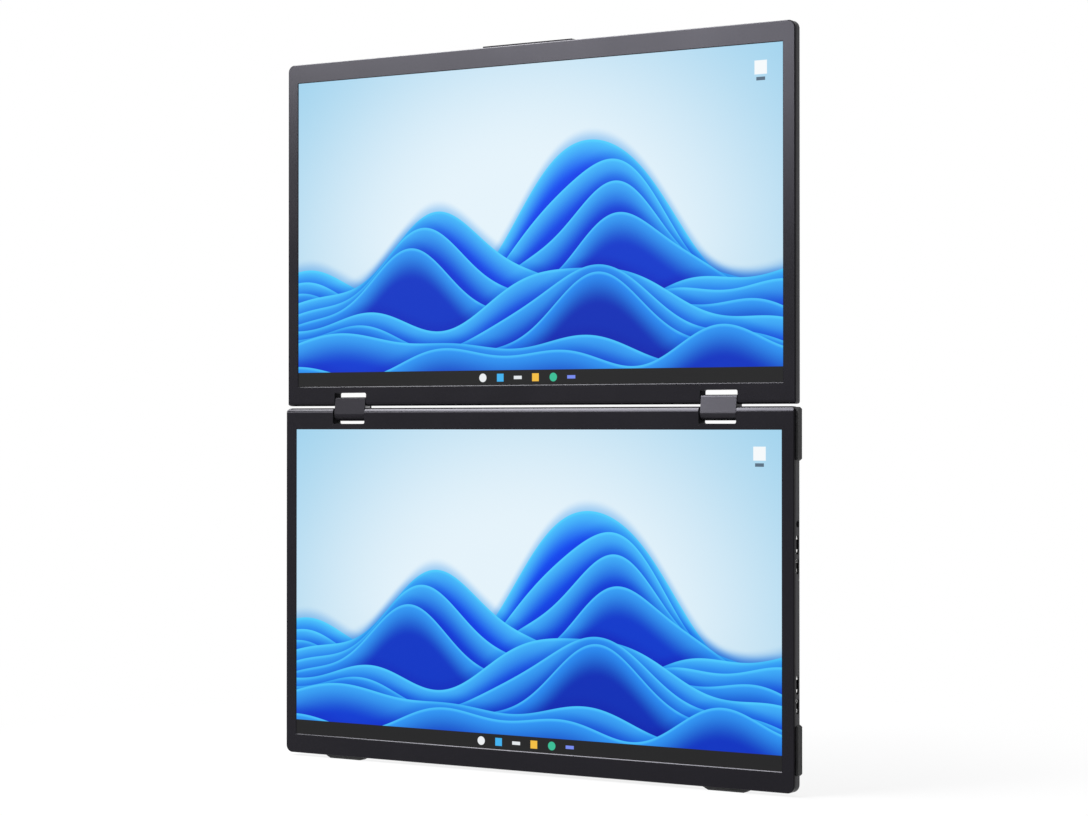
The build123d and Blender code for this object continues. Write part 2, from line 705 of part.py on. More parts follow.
def speaker(sign):
    """Flat box speaker on the back wall, behind its grille."""
    x, z = sign * SPEAKER_X, LOWER_Z0 + SPEAKER_UP
    y1 = LOWER.inner_back
    half_w, half_h = SPEAKER_W / 2, SPEAKER_H / 2
    box = block(x - half_w, x + half_w, y1 - SPEAKER_T, y1, z - half_h, z + half_h)
    mouth = rod_y(x, z, half_h - SPEAKER_RIM, y1 - SPEAKER_T / 2, y1 + OVER)
    return box - mouth


def speaker_grilles():
    """Rows of short slots through the back wall."""
    cuts = Part()
    middle = (GRILLE_SLOTS - 1) / 2
    for sign in SIDES.values():
        for k in range(GRILLE_SLOTS):
            x = sign * SPEAKER_X + (k - middle) * GRILLE_PITCH
            slot = Pos(x, LOWER_Z0 + SPEAKER_UP) * SlotOverall(GRILLE_SLOT_H, GRILLE_SLOT_W, rotation=90)
            cuts += plate(slot, LOWER.inner_back - OVER, LOWER.back + OVER)
    return cuts


# Menu rockers

def rocker_heights():
    return [LOWER_Z1 - distance for distance in ROCKER_DOWN]


def rocker_pin_x():
    return -HOUSING_W / 2 + ROCKER_PIN_IN


def rocker(z):
    """Key with a crowned face, tilting on a hub behind its middle."""
    y = LOWER.back - ROCKER_MID
    x0, half = -HOUSING_W / 2, ROCKER_L / 2 - GLIDE
    face = x0 - ROCKER_PROUD + ROCKER_CROWN
    section = make_face(
        Line((x0 + ROCKER_BODY, z - half), (face, z - half))
        + ThreePointArc((face, z - half), (x0 - ROCKER_PROUD, z), (face, z + half))
        + Line((face, z + half), (x0 + ROCKER_BODY, z + half))
        + Line((x0 + ROCKER_BODY, z + half), (x0 + ROCKER_BODY, z - half))
    )
    key = plate(section, y - ROCKER_W / 2, y + ROCKER_W / 2)
    key += rod_y(rocker_pin_x(), z, ROCKER_HUB_R, y - ROCKER_W / 2, y + ROCKER_W / 2)
    return key - rod_y(rocker_pin_x(), z, ROCKER_PIN_R + RUN, y - ROCKER_W, y + ROCKER_W)


def rocker_pin(z):
    y = LOWER.back - ROCKER_MID
    return rod_y(rocker_pin_x(), z, ROCKER_PIN_R, y - ROCKER_PIN_L / 2, y + ROCKER_PIN_L / 2)


def rocker_cheeks(z):
    """Block behind the wall that the rocker's slot and pin hole are cut into."""
    x1 = rocker_pin_x() + ROCKER_HUB_R + GLIDE
    return block(-HOUSING_W / 2, x1, LOWER.parting - OVER, LOWER.back, z - ROCKER_SPAN, z + ROCKER_SPAN)


def rocker_windows():
    """The slot that each key moves in, and its pin's hole."""
    cuts = Part()
    y = LOWER.back - ROCKER_MID
    for z in rocker_heights():
        reach, half = ROCKER_W / 2 + GLIDE, ROCKER_L / 2
        x1 = rocker_pin_x() + ROCKER_HUB_R + GLIDE + OVER
        cuts += block(-HOUSING_W / 2 - OVER, x1, y - reach, y + reach, z - half, z + half)
        cuts += rod_y(rocker_pin_x(), z, ROCKER_PIN_R + RUN / 2, y - ROCKER_PIN_L / 2, y + ROCKER_PIN_L / 2)
    return cuts


# Hinges

def along(sign, start, end):
    """X of two places, measured outwards from the inner end of a hinge cover."""
    inner_end = HINGE_X - COVER_W / 2
    return sign * (inner_end + start), sign * (inner_end + end)


def hinge_stops():
    """Places along a hinge, from the inner end of its cover outwards."""
    plate_end = PLATE_INSET + PLATE_T
    gear_start = plate_end + GEAR_SIDE_GAP
    gear_end = gear_start + GEAR_W
    far_plate = gear_end + GEAR_SIDE_GAP
    far_plate_end = far_plate + PLATE_T
    nut_start = far_plate_end + WASHERS * (WASHER_T + WASHER_GAP) + WASHER_GAP
    return {
        "plate": (PLATE_INSET, plate_end),
        "gear": (gear_start, gear_end),
        "far_plate": (far_plate, far_plate_end),
        "nut": (nut_start, nut_start + NUT_T),
        "neck": (gear_end, nut_start + NUT_T + NECK_SPARE),
    }


def cover_section(inset=0.0):
    """Hinge cover seen from the side: flat tilted front, big rounding at its lower front corner."""
    top, bottom = UPPER_AXIS[1] + COVER_ABOVE, LOWER_AXIS[1] - COVER_BELOW
    corners = [
        ((COVER_FRONT_BOTTOM, bottom), COVER_ROUND_BOTTOM),
        ((COVER_BACK_BOTTOM, bottom), COVER_ROUND_BACK_BOTTOM),
        ((COVER_BACK_TOP, top), COVER_ROUND_BACK_TOP),
        ((COVER_FRONT_TOP, top), COVER_ROUND_TOP),
    ]
    section = make_face(Polyline(*[point for point, _ in corners], close=True))
    for point, radius in corners:
        vertex = section.vertices().sort_by_distance((point[0], point[1], 0))[0]
        section = fillet([vertex], radius)
    return offset(section, amount=-inset) if inset > 0 else section


def hinge_cover(sign):
    """Moulded sleeve closed at its outer end; the right one has the two cable holes."""
    cover = bar(cover_section(), *along(sign, 0, COVER_W))
    cover -= bar(cover_section(COVER_WALL), *along(sign, -OVER, COVER_W - COVER_END_WALL))
    if sign > 0:
        for y, z in (LOWER_AXIS, UPPER_AXIS):
            cover -= rod_x(y, z, CABLE_R + FIT, *along(sign, COVER_W - 2 * COVER_END_WALL, COVER_W + OVER))
    return cover


def train_place(step):
    """Centre of each gear, counted from 0 on the lower shaft."""
    share = step / (TRAIN - 1)
    return tuple(a + (b - a) * share for a, b in zip(LOWER_AXIS, UPPER_AXIS))


def gear_face(step):
    """Section of one small gear with involute flanks, in mesh with its neighbours."""
    base_r = GEAR_PITCH_R * math.cos(math.radians(PRESSURE_ANGLE))
    tip_r, root_r = GEAR_PITCH_R + ADDENDUM * MODULE, GEAR_PITCH_R - DEDENDUM * MODULE
    half_pitch_angle = (math.pi * MODULE / 2 - TOOTH_BACKLASH) / (2 * GEAR_PITCH_R)

    def roll(radius):
        turn = math.acos(min(1.0, base_r / radius))
        return math.tan(turn) - turn

    def flank(radius, side, middle):
        angle = middle + side * (half_pitch_angle + roll(GEAR_PITCH_R) - roll(radius))
        return radius * math.cos(angle), radius * math.sin(angle)

    # A tooth faces the next gear on even steps, and a gap does on odd ones
    facing = math.radians(90 - AXIS_LEAN)
    start = facing + (0 if step % 2 == 0 else math.pi / TEETH)
    curves = []
    joint = None
    for k in range(TEETH):
        middle = start + 2 * math.pi * k / TEETH
        sides = []
        for side in (-1, 1):
            foot = flank(base_r, side, middle)
            root = tuple(value * root_r / base_r for value in foot)
            half_way = flank((base_r + tip_r) / 2, side, middle)
            sides.append((root, foot, half_way, flank(tip_r, side, middle)))
        (root_a, foot_a, mid_a, tip_a), (root_b, foot_b, mid_b, tip_b) = sides
        if joint is None:
            first_root = root_a
        else:
            curves.append(Line(joint, root_a))
        curves += [Line(root_a, foot_a), ThreePointArc(foot_a, mid_a, tip_a), Line(tip_a, tip_b)]
        curves += [ThreePointArc(tip_b, mid_b, foot_b), Line(foot_b, root_b)]
        joint = root_b
    curves.append(Line(joint, first_root))
    return Pos(*train_place(step)) * make_face(Curve() + curves)


def idler_gear(sign, step):
    """Free gear between the shafts, with a trunnion at each end."""
    stops = hinge_stops()
    y, z = train_place(step)
    gear = bar(gear_face(step), *along(sign, *stops["gear"]))
    return gear + rod_x(y, z, TRUNNION_R, *along(sign, stops["plate"][0], stops["far_plate"][1]))


def hinge_shaft(h, sign, step):
    """Shaft with its flattened end on the bracket, a gear cut on it, and a thin neck for the washers."""
    stops = hinge_stops()
    y, z = h.axis
    notch_side = HINGE_X - NOTCH_W / 2
    inner_end = sign * (notch_side - SHAFT_REACH)
    gear_start = along(sign, stops["gear"][0], 0)[0]
    shaft = rod_x(y, z, SHAFT_R, inner_end, gear_start)
    flat_end = sign * (notch_side - FLAT_REACH)
    flat = rod_x(y, z, SHAFT_R, flat_end, inner_end)
    flat &= block(flat_end, inner_end, y - SHAFT_R, y, z - SHAFT_R, z + SHAFT_R)
    shaft += flat
    shaft += bar(gear_face(step), *along(sign, *stops["gear"]))
    return shaft + rod_x(y, z, NECK_R, *along(sign, *stops["neck"]))


def hinge_bracket(h, sign):
    """Flat steel plate that the shaft's end lies on, screwed to the back shell."""
    y, z = h.axis
    notch_side = HINGE_X - NOTCH_W / 2
    x0, x1 = sign * (notch_side - BRACKET_L), sign * (notch_side - SIDE_WALL - FIT)
    near = z - h.inward * SHAFT_R
    far = z + h.inward * (BRACKET_SCREW_OFF + SCREW_HEAD_R + BRACKET_EDGE)
    part = block(x0, x1, y, y + BRACKET_T, near, far)
    relief = sign * (notch_side - SHAFT_REACH)
    part -= block(relief, x1, y - OVER, y + SHAFT_R + FIT, z - SHAFT_R - FIT, z + SHAFT_R + FIT)
    for x, screw_z in bracket_screw_places(h, sign):
        part -= rod_y(x, screw_z, SCREW_R + RUN, y - OVER, y + BRACKET_T + OVER)
    return part


def hinge_plate(sign, stop, shaft_r):
    """Steel plate inside the cover that carries both shafts and both idlers."""
    part = bar(cover_section(COVER_WALL + RUN), *along(sign, *hinge_stops()[stop]))
    for step in range(TRAIN):
        radius = (shaft_r if step in (0, TRAIN - 1) else TRUNNION_R) + RUN
        part -= rod_x(*train_place(step), radius, *along(sign, -OVER, COVER_W))
    return part


def friction_washers():
    """Stacks of spring washers on the four necks."""
    rings = []
    start = hinge_stops()["far_plate"][1]
    for sign in SIDES.values():
        for y, z in (LOWER_AXIS, UPPER_AXIS):
            for k in range(WASHERS):
                low = start + WASHER_GAP + k * (WASHER_T + WASHER_GAP)
                span = along(sign, low, low + WASHER_T)
                rings.append(rod_x(y, z, WASHER_R, *span) - rod_x(y, z, NECK_R + RUN, *span))
    return rings


def hinge_nuts(h):
    """Hexagon nuts at the ends of one housing's necks."""
    nuts = []
    y, z = h.axis
    for sign in SIDES.values():
        span = along(sign, *hinge_stops()["nut"])
        section = Pos(y, z) * RegularPolygon(NUT_FLATS / 2, 6, major_radius=False)
        nuts.append(bar(section, *span) - rod_x(y, z, NECK_R, *span))
    return nuts


# Screws

def bracket_screw(x, z, plate_front, length):
    """Flat round head on the bracket."""
    screw = rod_y(x, z, SCREW_HEAD_R, plate_front - SCREW_HEAD_T, plate_front)
    return screw + rod_y(x, z, SCREW_R, plate_front - SCREW_HEAD_T / 2, plate_front + length)


def bracket_screws(h):
    length = h.inner_back - h.axis[0]
    return [
        bracket_screw(x, z, h.axis[0], length)
        for sign in SIDES.values() for x, z in bracket_screw_places(h, sign)
    ]


def cover_screws(h):
    """Countersunk screws, flush with the back face, that reach into the bezel's bosses."""
    screws = []
    for x, z in cover_screw_places(h):
        head = countersink(x, z, h.back)
        head += rod_y(x, z, SCREW_R, h.parting + SCREW_SHORT, h.back - CONE_DEPTH / 2)
        screws.append(head - rod_y(x, z, SOCKET_R, h.back - SOCKET_DEPTH, h.back + OVER))
    return screws


# Stand

def stand_local(shape):
    """Turn a stand drawn folded in, upright against the back, down onto the desk."""
    y, z = STAND_AXIS
    return Pos(0, y, z) * Rot(-(90 + STAND_SLOPE), 0, 0) * shape


def stand_plate():
    """Metal plate with two knuckles at its root and a groove for the rubber strip."""
    root, tip = STAND_ROOT, STAND_REACH
    outline = make_face(Polyline(
        (-STAND_W / 2, root), (STAND_W / 2, root), (STAND_W / 2, STAND_TAPER_FROM), (STAND_TIP_W / 2, tip),
        (-STAND_TIP_W / 2, tip), (-STAND_W / 2, STAND_TAPER_FROM), close=True,
    ))
    outline = fillet(outline.vertices().sort_by(Axis.Y)[-2:], STAND_CORNER_R)
    part = plate(outline, STAND_OUT, STAND_OUT + STAND_T)
    for sign in SIDES.values():
        x0, x1 = sign * KNUCKLE_X - KNUCKLE_L / 2, sign * KNUCKLE_X + KNUCKLE_L / 2
        part += rod_x(0, 0, KNUCKLE_R, x0, x1)
        part += block(x0, x1, STAND_OUT, STAND_OUT + STAND_T, 0, root + OVER)
    for sign in SIDES.values():
        x0, x1 = sign * KNUCKLE_X - KNUCKLE_L, sign * KNUCKLE_X + KNUCKLE_L
        part -= rod_x(0, 0, PIN_R + RUN, x0, x1)
    part -= strip_bar(0)
    return stand_local(part)


def strip_bar(short):
    """Round bar along the stand's free edge, less a little at each end."""
    half = STAND_TIP_W / 2 - STRIP_END - short
    return rod_x(STRIP_CENTRE_OUT, STRIP_FROM_PIN, STRIP_R, -half, half)


def stand_strip():
    return stand_local(strip_bar(FIT))


def stand_pin(sign):
    y, z = STAND_AXIS
    reach = KNUCKLE_L / 2 + GLIDE + PIN_OVER
    return rod_x(y, z, PIN_R, sign * KNUCKLE_X - reach, sign * KNUCKLE_X + reach)


# Feet

def desk_foot(sign):
    """Rubber foot with sloping ends under the lower housing."""
    x, base, flat = sign * FOOT_X, FOOT_BASE / 2, FOOT_FLAT / 2
    section = make_face(Polyline(
        (x - base, LOWER_Z0), (x + base, LOWER_Z0), (x + flat, 0), (x - flat, 0), close=True,
    ))
    y0, y1 = LOWER.parting + FOOT_FRONT, LOWER.back - FOOT_BACK
    foot = plate(section, y0, y1)
    filler = block(x - base, x + base, y0, y1, LOWER_Z0, LOWER_Z0 + BACK_EDGE_R)
    return foot, filler


def side_foot(z0, z1):
    """Rubber pad with sloping ends on the right wall, for standing on the short side."""
    x = HOUSING_W / 2
    section = make_face(Polyline(
        (x - LOWER_HINGE_CORNER_R, z0), (x, z0), (x + SIDE_FOOT_T, z0 + SIDE_FOOT_BEVEL),
        (x + SIDE_FOOT_T, z1 - SIDE_FOOT_BEVEL), (x, z1), (x - LOWER_HINGE_CORNER_R, z1), close=True,
    ))
    return plate(section, LOWER.parting + FOOT_FRONT + GROOVE_W, LOWER.back - FOOT_BACK)


# Display cable, from the lower boards through the right hinge to the upper timing board

def tube(path):
    """The cable swept along a path."""
    face = Plane(path @ 0, z_dir=path % 0) * RegularPolygon(CABLE_R, CABLE_SIDES)
    return sweep(face, path=path)


def cable_link():
    """The cable's loop inside the right hinge cover, entering and leaving on the two shaft axes."""
    x_out = along(1, 0, COVER_W)[1]
    x_bend = x_out - COVER_END_WALL - LINK_RUN
    low = Vector(x_bend, *LOWER_AXIS)
    high = Vector(x_bend, *UPPER_AXIS)
    middle = (low + high) / 2 - Vector(AXIS_SPACING / 2, 0, 0)
    return tube(Wire([
        Line(Vector(x_out, *LOWER_AXIS), low), ThreePointArc(low, middle, high),
        Line(high, Vector(x_out, *UPPER_AXIS)),
    ]))


def cable_corner_x():
    return HINGE_X + NOTCH_W / 2 + SIDE_WALL + CABLE_RUN


def lower_cable():
    """Out of the hinge along the shaft axis, down behind the module, to the plug on the first board."""
    y, z = LOWER.axis
    x = cable_corner_x()
    y_behind = LOWER.stack_back + CABLE_OFF_STACK + CABLE_R
    points = [
        (along(1, 0, COVER_W)[1], y, z), (x, y, z), (x, y_behind, z - CABLE_DIP),
        (x, y_behind, board_top(0)),
    ]
    return tube(FilletPolyline(*points, radius=[CABLE_BEND, CABLE_EASE]))


def upper_cable():
    """Out of the hinge along the shaft axis, up, and back along the timing board to its socket."""
    y, z = UPPER.axis
    x = cable_corner_x()
    z_socket = timing_board_z(UPPER) + RIBBON_SOCKET_UP + RIBBON_SOCKET_H / 2
    points = [(along(1, 0, COVER_W)[1], y, z), (x, y, z), (x, y, z_socket), (RIBBON_SOCKET_X, y, z_socket)]
    return tube(FilletPolyline(*points, radius=CABLE_BEND))


def cable_plug():
    """Socket on the first board that the lower cable ends in."""
    y_front = LOWER.stack_back + CABLE_OFF_STACK / 2
    x, z1 = cable_corner_x(), board_top(0)
    return block(x - CABLE_PLUG_W / 2, x + CABLE_PLUG_W / 2, y_front, board_front(), z1 - CABLE_PLUG_L, z1)


def board_ribbons():
    """Flat cables: lower timing board to the second board, and the second board to the first."""
    x0, x1 = RIBBON_SOCKET_X - RIBBON_SOCKET_W + RIBBON_IN, RIBBON_SOCKET_X - RIBBON_IN
    y_board = board_front()
    y_socket = ribbon_socket_back(LOWER)
    z_socket = timing_board_z(LOWER) + RIBBON_SOCKET_UP
    z_low, z_high = board_top(1) - BOARD_H[1], board_top(1)
    first_low = board_top(0) - BOARD_H[0]
    step = z_low - RIBBON_T
    ribbon = block(x0, x1, y_socket, y_socket + RIBBON_T, z_socket, step + RIBBON_T)
    ribbon += block(x0, x1, y_socket, y_board, step, step + RIBBON_T)
    ribbon += block(x0, x1, y_board - RIBBON_T, y_board, step, z_low + RIBBON_SOCKET_H)
    link = block(x0, x1, y_board - RIBBON_T, y_board, z_high - RIBBON_SOCKET_H, first_low + RIBBON_SOCKET_H)
    return [ribbon, link]


# Every piece by its node name

def display_pieces(h, shell):
    """What both housings hold alike."""
    step = 0 if h.hinge_at_top else TRAIN - 1
    pieces = {
        f"{h.name}_bezel": bezel(h, shell),
        f"{h.name}_lcd_cell": lcd_cell(h),
        f"{h.name}_backlight": backlight(h),
        f"{h.name}_backlight_tray": backlight_tray(h),
        f"{h.name}_timing_board": timing_board(h),
        f"{h.name}_hinge_nuts": Compound(hinge_nuts(h)),
        f"{h.name}_bracket_screws": Compound(bracket_screws(h)),
        f"{h.name}_cover_screws": Compound(cover_screws(h)),
    }
    for side, sign in SIDES.items():
        pieces[f"{h.name}_hinge_shaft_{side}"] = hinge_shaft(h, sign, step)
        pieces[f"{h.name}_hinge_bracket_{side}"] = hinge_bracket(h, sign)
    return pieces


def all_pieces():
    upper_shell, lower_shell = envelope(UPPER), envelope(LOWER)
    pieces = display_pieces(UPPER, upper_shell)
    pieces.update(display_pieces(LOWER, lower_shell))
    pieces["upper_rear_cover"] = rear_cover(UPPER, upper_shell)
    pieces["lower_rear_cover"] = lower_rear_cover(lower_shell)
    pieces["upper_display_cable"] = upper_cable()
    pieces["lower_display_cable"] = lower_cable()
    pieces["link_display_cable"] = cable_link()
    pieces["audio_jack"] = audio_jack()
    pieces["mini_hdmi_sockets"] = Compound([hdmi_socket(z) for z in group_heights()])
    pieces["usb_c_sockets"] = Compound([usb_socket(z) for z in group_heights(-USB_BELOW)])
    pieces["status_lenses"] = Compound([led_lens(z) for z in group_heights(-LED_BELOW)])
    pieces["board_ribbons"] = Compound(board_ribbons())
    pieces["video_board_1"] = video_board(0) + cable_plug()
    pieces["video_board_2"] = video_board(1)
    pieces["board_chips"] = Compound(board_chips())
    pieces["friction_washers"] = Compound(friction_washers())
    pieces["stand_plate"] = stand_plate()
    pieces["stand_strip"] = stand_strip()
    pieces["stand_hinge_pins"] = Compound([stand_pin(sign) for sign in SIDES.values()])
    pieces["rocker_pins"] = Compound([rocker_pin(z) for z in rocker_heights()])
    for number, z in enumerate(rocker_heights(), start=1):
        pieces[f"menu_rocker_{number}"] = rocker(z)
    for side, sign in SIDES.items():
        pieces[f"speaker_{side}"] = speaker(sign)
        pieces[f"hinge_cover_{side}"] = hinge_cover(sign)
        pieces[f"hinge_inner_plate_{side}"] = hinge_plate(sign, "plate", SHAFT_R)
        pieces[f"hinge_outer_plate_{side}"] = hinge_plate(sign, "far_plate", NECK_R)
        pieces[f"lower_idler_gear_{side}"] = idler_gear(sign, 1)
        pieces[f"upper_idler_gear_{side}"] = idler_gear(sign, 2)
        foot, filler = desk_foot(sign)
        pieces[f"desk_foot_{side}"] = foot + (filler - lower_shell)
    top_low, top_high = LOWER_Z1 - SIDE_FOOT_TOP[1], LOWER_Z1 - SIDE_FOOT_TOP[0]
    bottom_low, bottom_high = LOWER_Z0 + SIDE_FOOT_BOTTOM[0], LOWER_Z0 + SIDE_FOOT_BOTTOM[1]
    pieces["side_foot_top"] = side_foot(top_low, top_high) - lower_shell
    pieces["side_foot_bottom"] = side_foot(bottom_low, bottom_high) - lower_shell
    return pieces


def main():
    os.makedirs("parts", exist_ok=True)
    to_centre = Pos(-CENTRE_X, -CENTRE_Y, 0)
    for name, shape in all_pieces().items():
        export_step(to_centre * shape, f"parts/{name}.step")
    print(f"housings {HOUSING_W:.2f} wide, {UPPER_H:.2f} and {LOWER_H:.2f} high")
    print(f"shaft spacing {AXIS_SPACING:.3f}, lean {AXIS_LEAN:.2f}, stand slope {STAND_SLOPE:.4f}")
    print(f"centre {CENTRE_X:.4f}, {CENTRE_Y:.4f}")
    for step in range(TRAIN):
        y, z = train_place(step)
        print(f"gear {step} axis {y - CENTRE_Y:.4f}, {z:.4f}")
    print(f"stand axis {STAND_AXIS[0] - CENTRE_Y:.4f}, {STAND_AXIS[1]:.4f}")


main()
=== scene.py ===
# %% [markdown]
# # Two thin displays on geared hinges
#
# The real object is a pair of flat portable displays, one above the other. Satin black frames hold matt
# screens, two small moulded covers hide the hinges between them, and a row of sockets sits in the right
# wall. The solids already exist, so this lesson gives each one its finish, adds the small repeated pieces
# that are too fine for the solids, and lights the whole like a catalogue photograph.

# %% Load the fixed frame
import math

import bpy
from mathutils import Matrix, Vector


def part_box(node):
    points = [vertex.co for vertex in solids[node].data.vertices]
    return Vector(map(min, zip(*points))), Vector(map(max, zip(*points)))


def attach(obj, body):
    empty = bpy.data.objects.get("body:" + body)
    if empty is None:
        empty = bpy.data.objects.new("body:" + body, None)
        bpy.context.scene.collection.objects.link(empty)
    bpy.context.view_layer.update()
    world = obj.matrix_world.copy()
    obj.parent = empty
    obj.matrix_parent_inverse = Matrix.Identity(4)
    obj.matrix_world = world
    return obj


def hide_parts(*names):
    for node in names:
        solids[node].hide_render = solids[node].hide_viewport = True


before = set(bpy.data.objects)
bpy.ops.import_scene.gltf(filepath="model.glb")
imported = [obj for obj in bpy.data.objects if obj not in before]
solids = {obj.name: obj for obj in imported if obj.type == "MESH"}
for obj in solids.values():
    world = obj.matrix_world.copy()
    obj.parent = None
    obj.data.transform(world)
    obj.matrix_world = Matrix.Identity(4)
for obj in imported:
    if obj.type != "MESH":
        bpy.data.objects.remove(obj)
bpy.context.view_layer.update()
scene = bpy.context.scene

# %% [markdown]
# ## Where things are
#
# Every piece is placed from the solids themselves: a box gives the lowest and highest corner of one
# solid. That way a finish or a small part stays in place when the solids change. Blender works in metres
# and small parts are easier to think of in millimetres, so one value turns them round.

# %% Sizes and places
MM = 0.001
CELL_BORDER = 1.8 * MM          # black margin of each screen cell, under the frame


def low(node):
    """The lowest corner of a solid."""
    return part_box(node)[0]


def high(node):
    """The highest corner of a solid."""
    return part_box(node)[1]


def middle(node):
    """The centre of a solid's box."""
    return (low(node) + high(node)) / 2


screen_w = high("upper_lcd_cell").x - low("upper_lcd_cell").x - 2 * CELL_BORDER
screen_h = high("upper_lcd_cell").z - low("upper_lcd_cell").z - 2 * CELL_BORDER
print(f"each lit screen is {screen_w / MM:.1f} by {screen_h / MM:.1f} mm")

# %% [markdown]
# ## The camera
#
# The photograph was taken from the right of the displays, at about half their height, through a lens long
# enough to keep the edges nearly parallel. The place and the two angles come from a camera solved on the
# eight corners of the screens.

# %% Camera
CAMERA_AT = (0.82648, -1.36074, 0.20977)
CAMERA_TURN = 31.91             # degrees to the left of straight ahead
CAMERA_LIFT = 0.40              # degrees upwards
FOCAL_LENGTH = 85.0
SENSOR_WIDTH = 36.0
NEAREST_SEEN = 0.01

camera_data = bpy.data.cameras.new("photo_camera")
camera_data.lens = FOCAL_LENGTH
camera_data.sensor_width = SENSOR_WIDTH
camera_data.clip_start = NEAREST_SEEN
camera = bpy.data.objects.new("photo_camera", camera_data)
camera.location = CAMERA_AT
camera.rotation_euler = (math.radians(90 + CAMERA_LIFT), 0, math.radians(CAMERA_TURN))
scene.collection.objects.link(camera)
scene.camera = camera
scene.view_settings.view_transform = "Standard"

# %% [markdown]
# ## Colours
#
# Colours are read off as a picture editor shows them, from 0 to 255, but a shader works in linear light,
# where twice the number is twice the light. The formula between the two is the one that screens use.

# %% Colours


def linear(*shades):
    """Turns colour values from 0 to 255, as a picture editor shows them, into linear light."""
    def lift(shade):
        s = shade / 255
        return s / 12.92 if s <= 0.04045 else ((s + 0.055) / 1.055) ** 2.4
    return tuple(lift(shade) for shade in shades) + (1.0,)


def scaled(colour, share):
    """A colour made darker or paler by a share."""
    return tuple(part * share for part in colour[:3]) + (1.0,)


print("middle grey in linear light:", round(linear(128)[0], 3))

# %% [markdown]
# ## Adding nodes
#
# A finish is a small network of nodes. A node has options, and inputs that take either a plain value or
# the output of another node. Written out line by line this is long and hard to read, so a helper adds a
# node, sets its options and feeds its inputs in one call.

# %% Helpers for nodes


def plug(tree, value, socket):
    """Feeds a socket with another socket, with a varying number (next cell), or with a plain value."""
    if isinstance(value, Varying):
        tree.links.new(value.socket, socket)
    elif isinstance(value, bpy.types.NodeSocket):
        tree.links.new(value, socket)
    else:
        socket.default_value = value


def feed(tree, node, **values):
    """Feeds a node's inputs by name. An underscore stands for a space."""
    for label, value in values.items():
        plug(tree, value, node.inputs[label.replace("_", " ")])


def put(tree, kind, settings=None, **values):
    """Adds a node, sets its options, and feeds its inputs."""
    node = tree.nodes.new(kind)
    for key, value in (settings or {}).items():
        setattr(node, key, value)
    feed(tree, node, **values)
    return node


def made(tree, kind, settings=None, **values):
    """Adds a node in the same way, and gives back its first output."""
    return put(tree, kind, settings, **values).outputs[0]


print("one call adds a node")

# %% [markdown]
# ## Numbers that vary over a surface
#
# Much of a finish is arithmetic on numbers that change from point to point, such as a distance. A class
# stands for such a number, and turns ordinary arithmetic on it into Math nodes. The same class serves for
# sizes inside Geometry Nodes later, because Math nodes work there too.

# %% Varying numbers
NOISE_LOW, NOISE_HIGH = 0.3, 0.7        # nearly all of a noise lies between these


class Varying:
    """A number that varies over a surface. Arithmetic on it adds Math nodes to its tree."""

    def __init__(self, tree, socket):
        self.tree = tree
        self.socket = socket

    def math(self, operation, *others):
        node = put(self.tree, "ShaderNodeMath", {"operation": operation})
        for index, value in enumerate((self,) + others):
            plug(self.tree, value, node.inputs[index])
        return Varying(self.tree, node.outputs[0])

    def __add__(self, other):
        return self.math("ADD", other)

    def __sub__(self, other):
        return self.math("SUBTRACT", other)

    def __mul__(self, other):
        return self.math("MULTIPLY", other)

    def __truediv__(self, other):
        return self.math("DIVIDE", other)

    def ramp(self, start, end, low_value=0.0, high_value=1.0):
        """Goes smoothly from one value to another between two limits, and stays level outside them."""
        return Varying(self.tree, made(
            self.tree, "ShaderNodeMapRange", {"interpolation_type": "SMOOTHSTEP"}, Value=self,
            From_Min=start, From_Max=end, To_Min=low_value, To_Max=high_value))

    def spread(self, low_value=0.0, high_value=1.0):
        """Stretches a noise over two values."""
        return self.ramp(NOISE_LOW, NOISE_HIGH, low_value, high_value)

    def within(self, limit, fade):
        """1 up to a limit and 0 past it, with a short fade after it."""
        return self.ramp(limit, limit + fade, 1.0, 0.0)


print("a noise is taken from", NOISE_LOW, "to", NOISE_HIGH)

# %% [markdown]
# ## Starting a finish
#
# Each finish begins with the same few nodes: the surface shader, the place of the point in metres, and
# mixes of two colours. The place is read in the object's own space, so that a pattern moves with its piece.

# %% Start a finish
MIX_FIRST, MIX_SECOND, MIX_COLOUR = 6, 7, 2     # the Mix node's colour inputs and output


def mixed(tree, share, first, second, how="MIX"):
    """Mixes two colours by a share."""
    options = {"data_type": "RGBA", "blend_type": how, "clamp_factor": True}
    node = put(tree, "ShaderNodeMix", options, Factor=share)
    plug(tree, first, node.inputs[MIX_FIRST])
    plug(tree, second, node.inputs[MIX_SECOND])
    return node.outputs[MIX_COLOUR]


def cleared_tree(owner):
    """The node tree of a new material or world, without the nodes that it starts with."""
    owner.use_nodes = True
    owner.node_tree.nodes.clear()
    return owner.node_tree


def start_finish(name):
    """A new material with its surface shader, joined to the output."""
    material = bpy.data.materials.new(name)
    tree = cleared_tree(material)
    surface = put(tree, "ShaderNodeBsdfPrincipled")
    put(tree, "ShaderNodeOutputMaterial", Surface=surface.outputs[0])
    return material, tree, surface


def own_place(tree):
    """The surface point in the object's own space, in metres."""
    return put(tree, "ShaderNodeTexCoord").outputs["Object"]


def parts_of(tree, place):
    """The three numbers of a place."""
    split = put(tree, "ShaderNodeSeparateXYZ", Vector=place)
    return [Varying(tree, split.outputs[axis]) for axis in "XYZ"]


print("finishes start with a surface shader and a place")

# %% [markdown]
# ## Grain
#
# What is random in a real surface, such as grain, pits or dust, comes from a noise of the right size. A
# bump then tilts the light as if the surface rose and fell with it, so that the small texture of a moulding
# needs no extra faces.

# %% Noise and bump


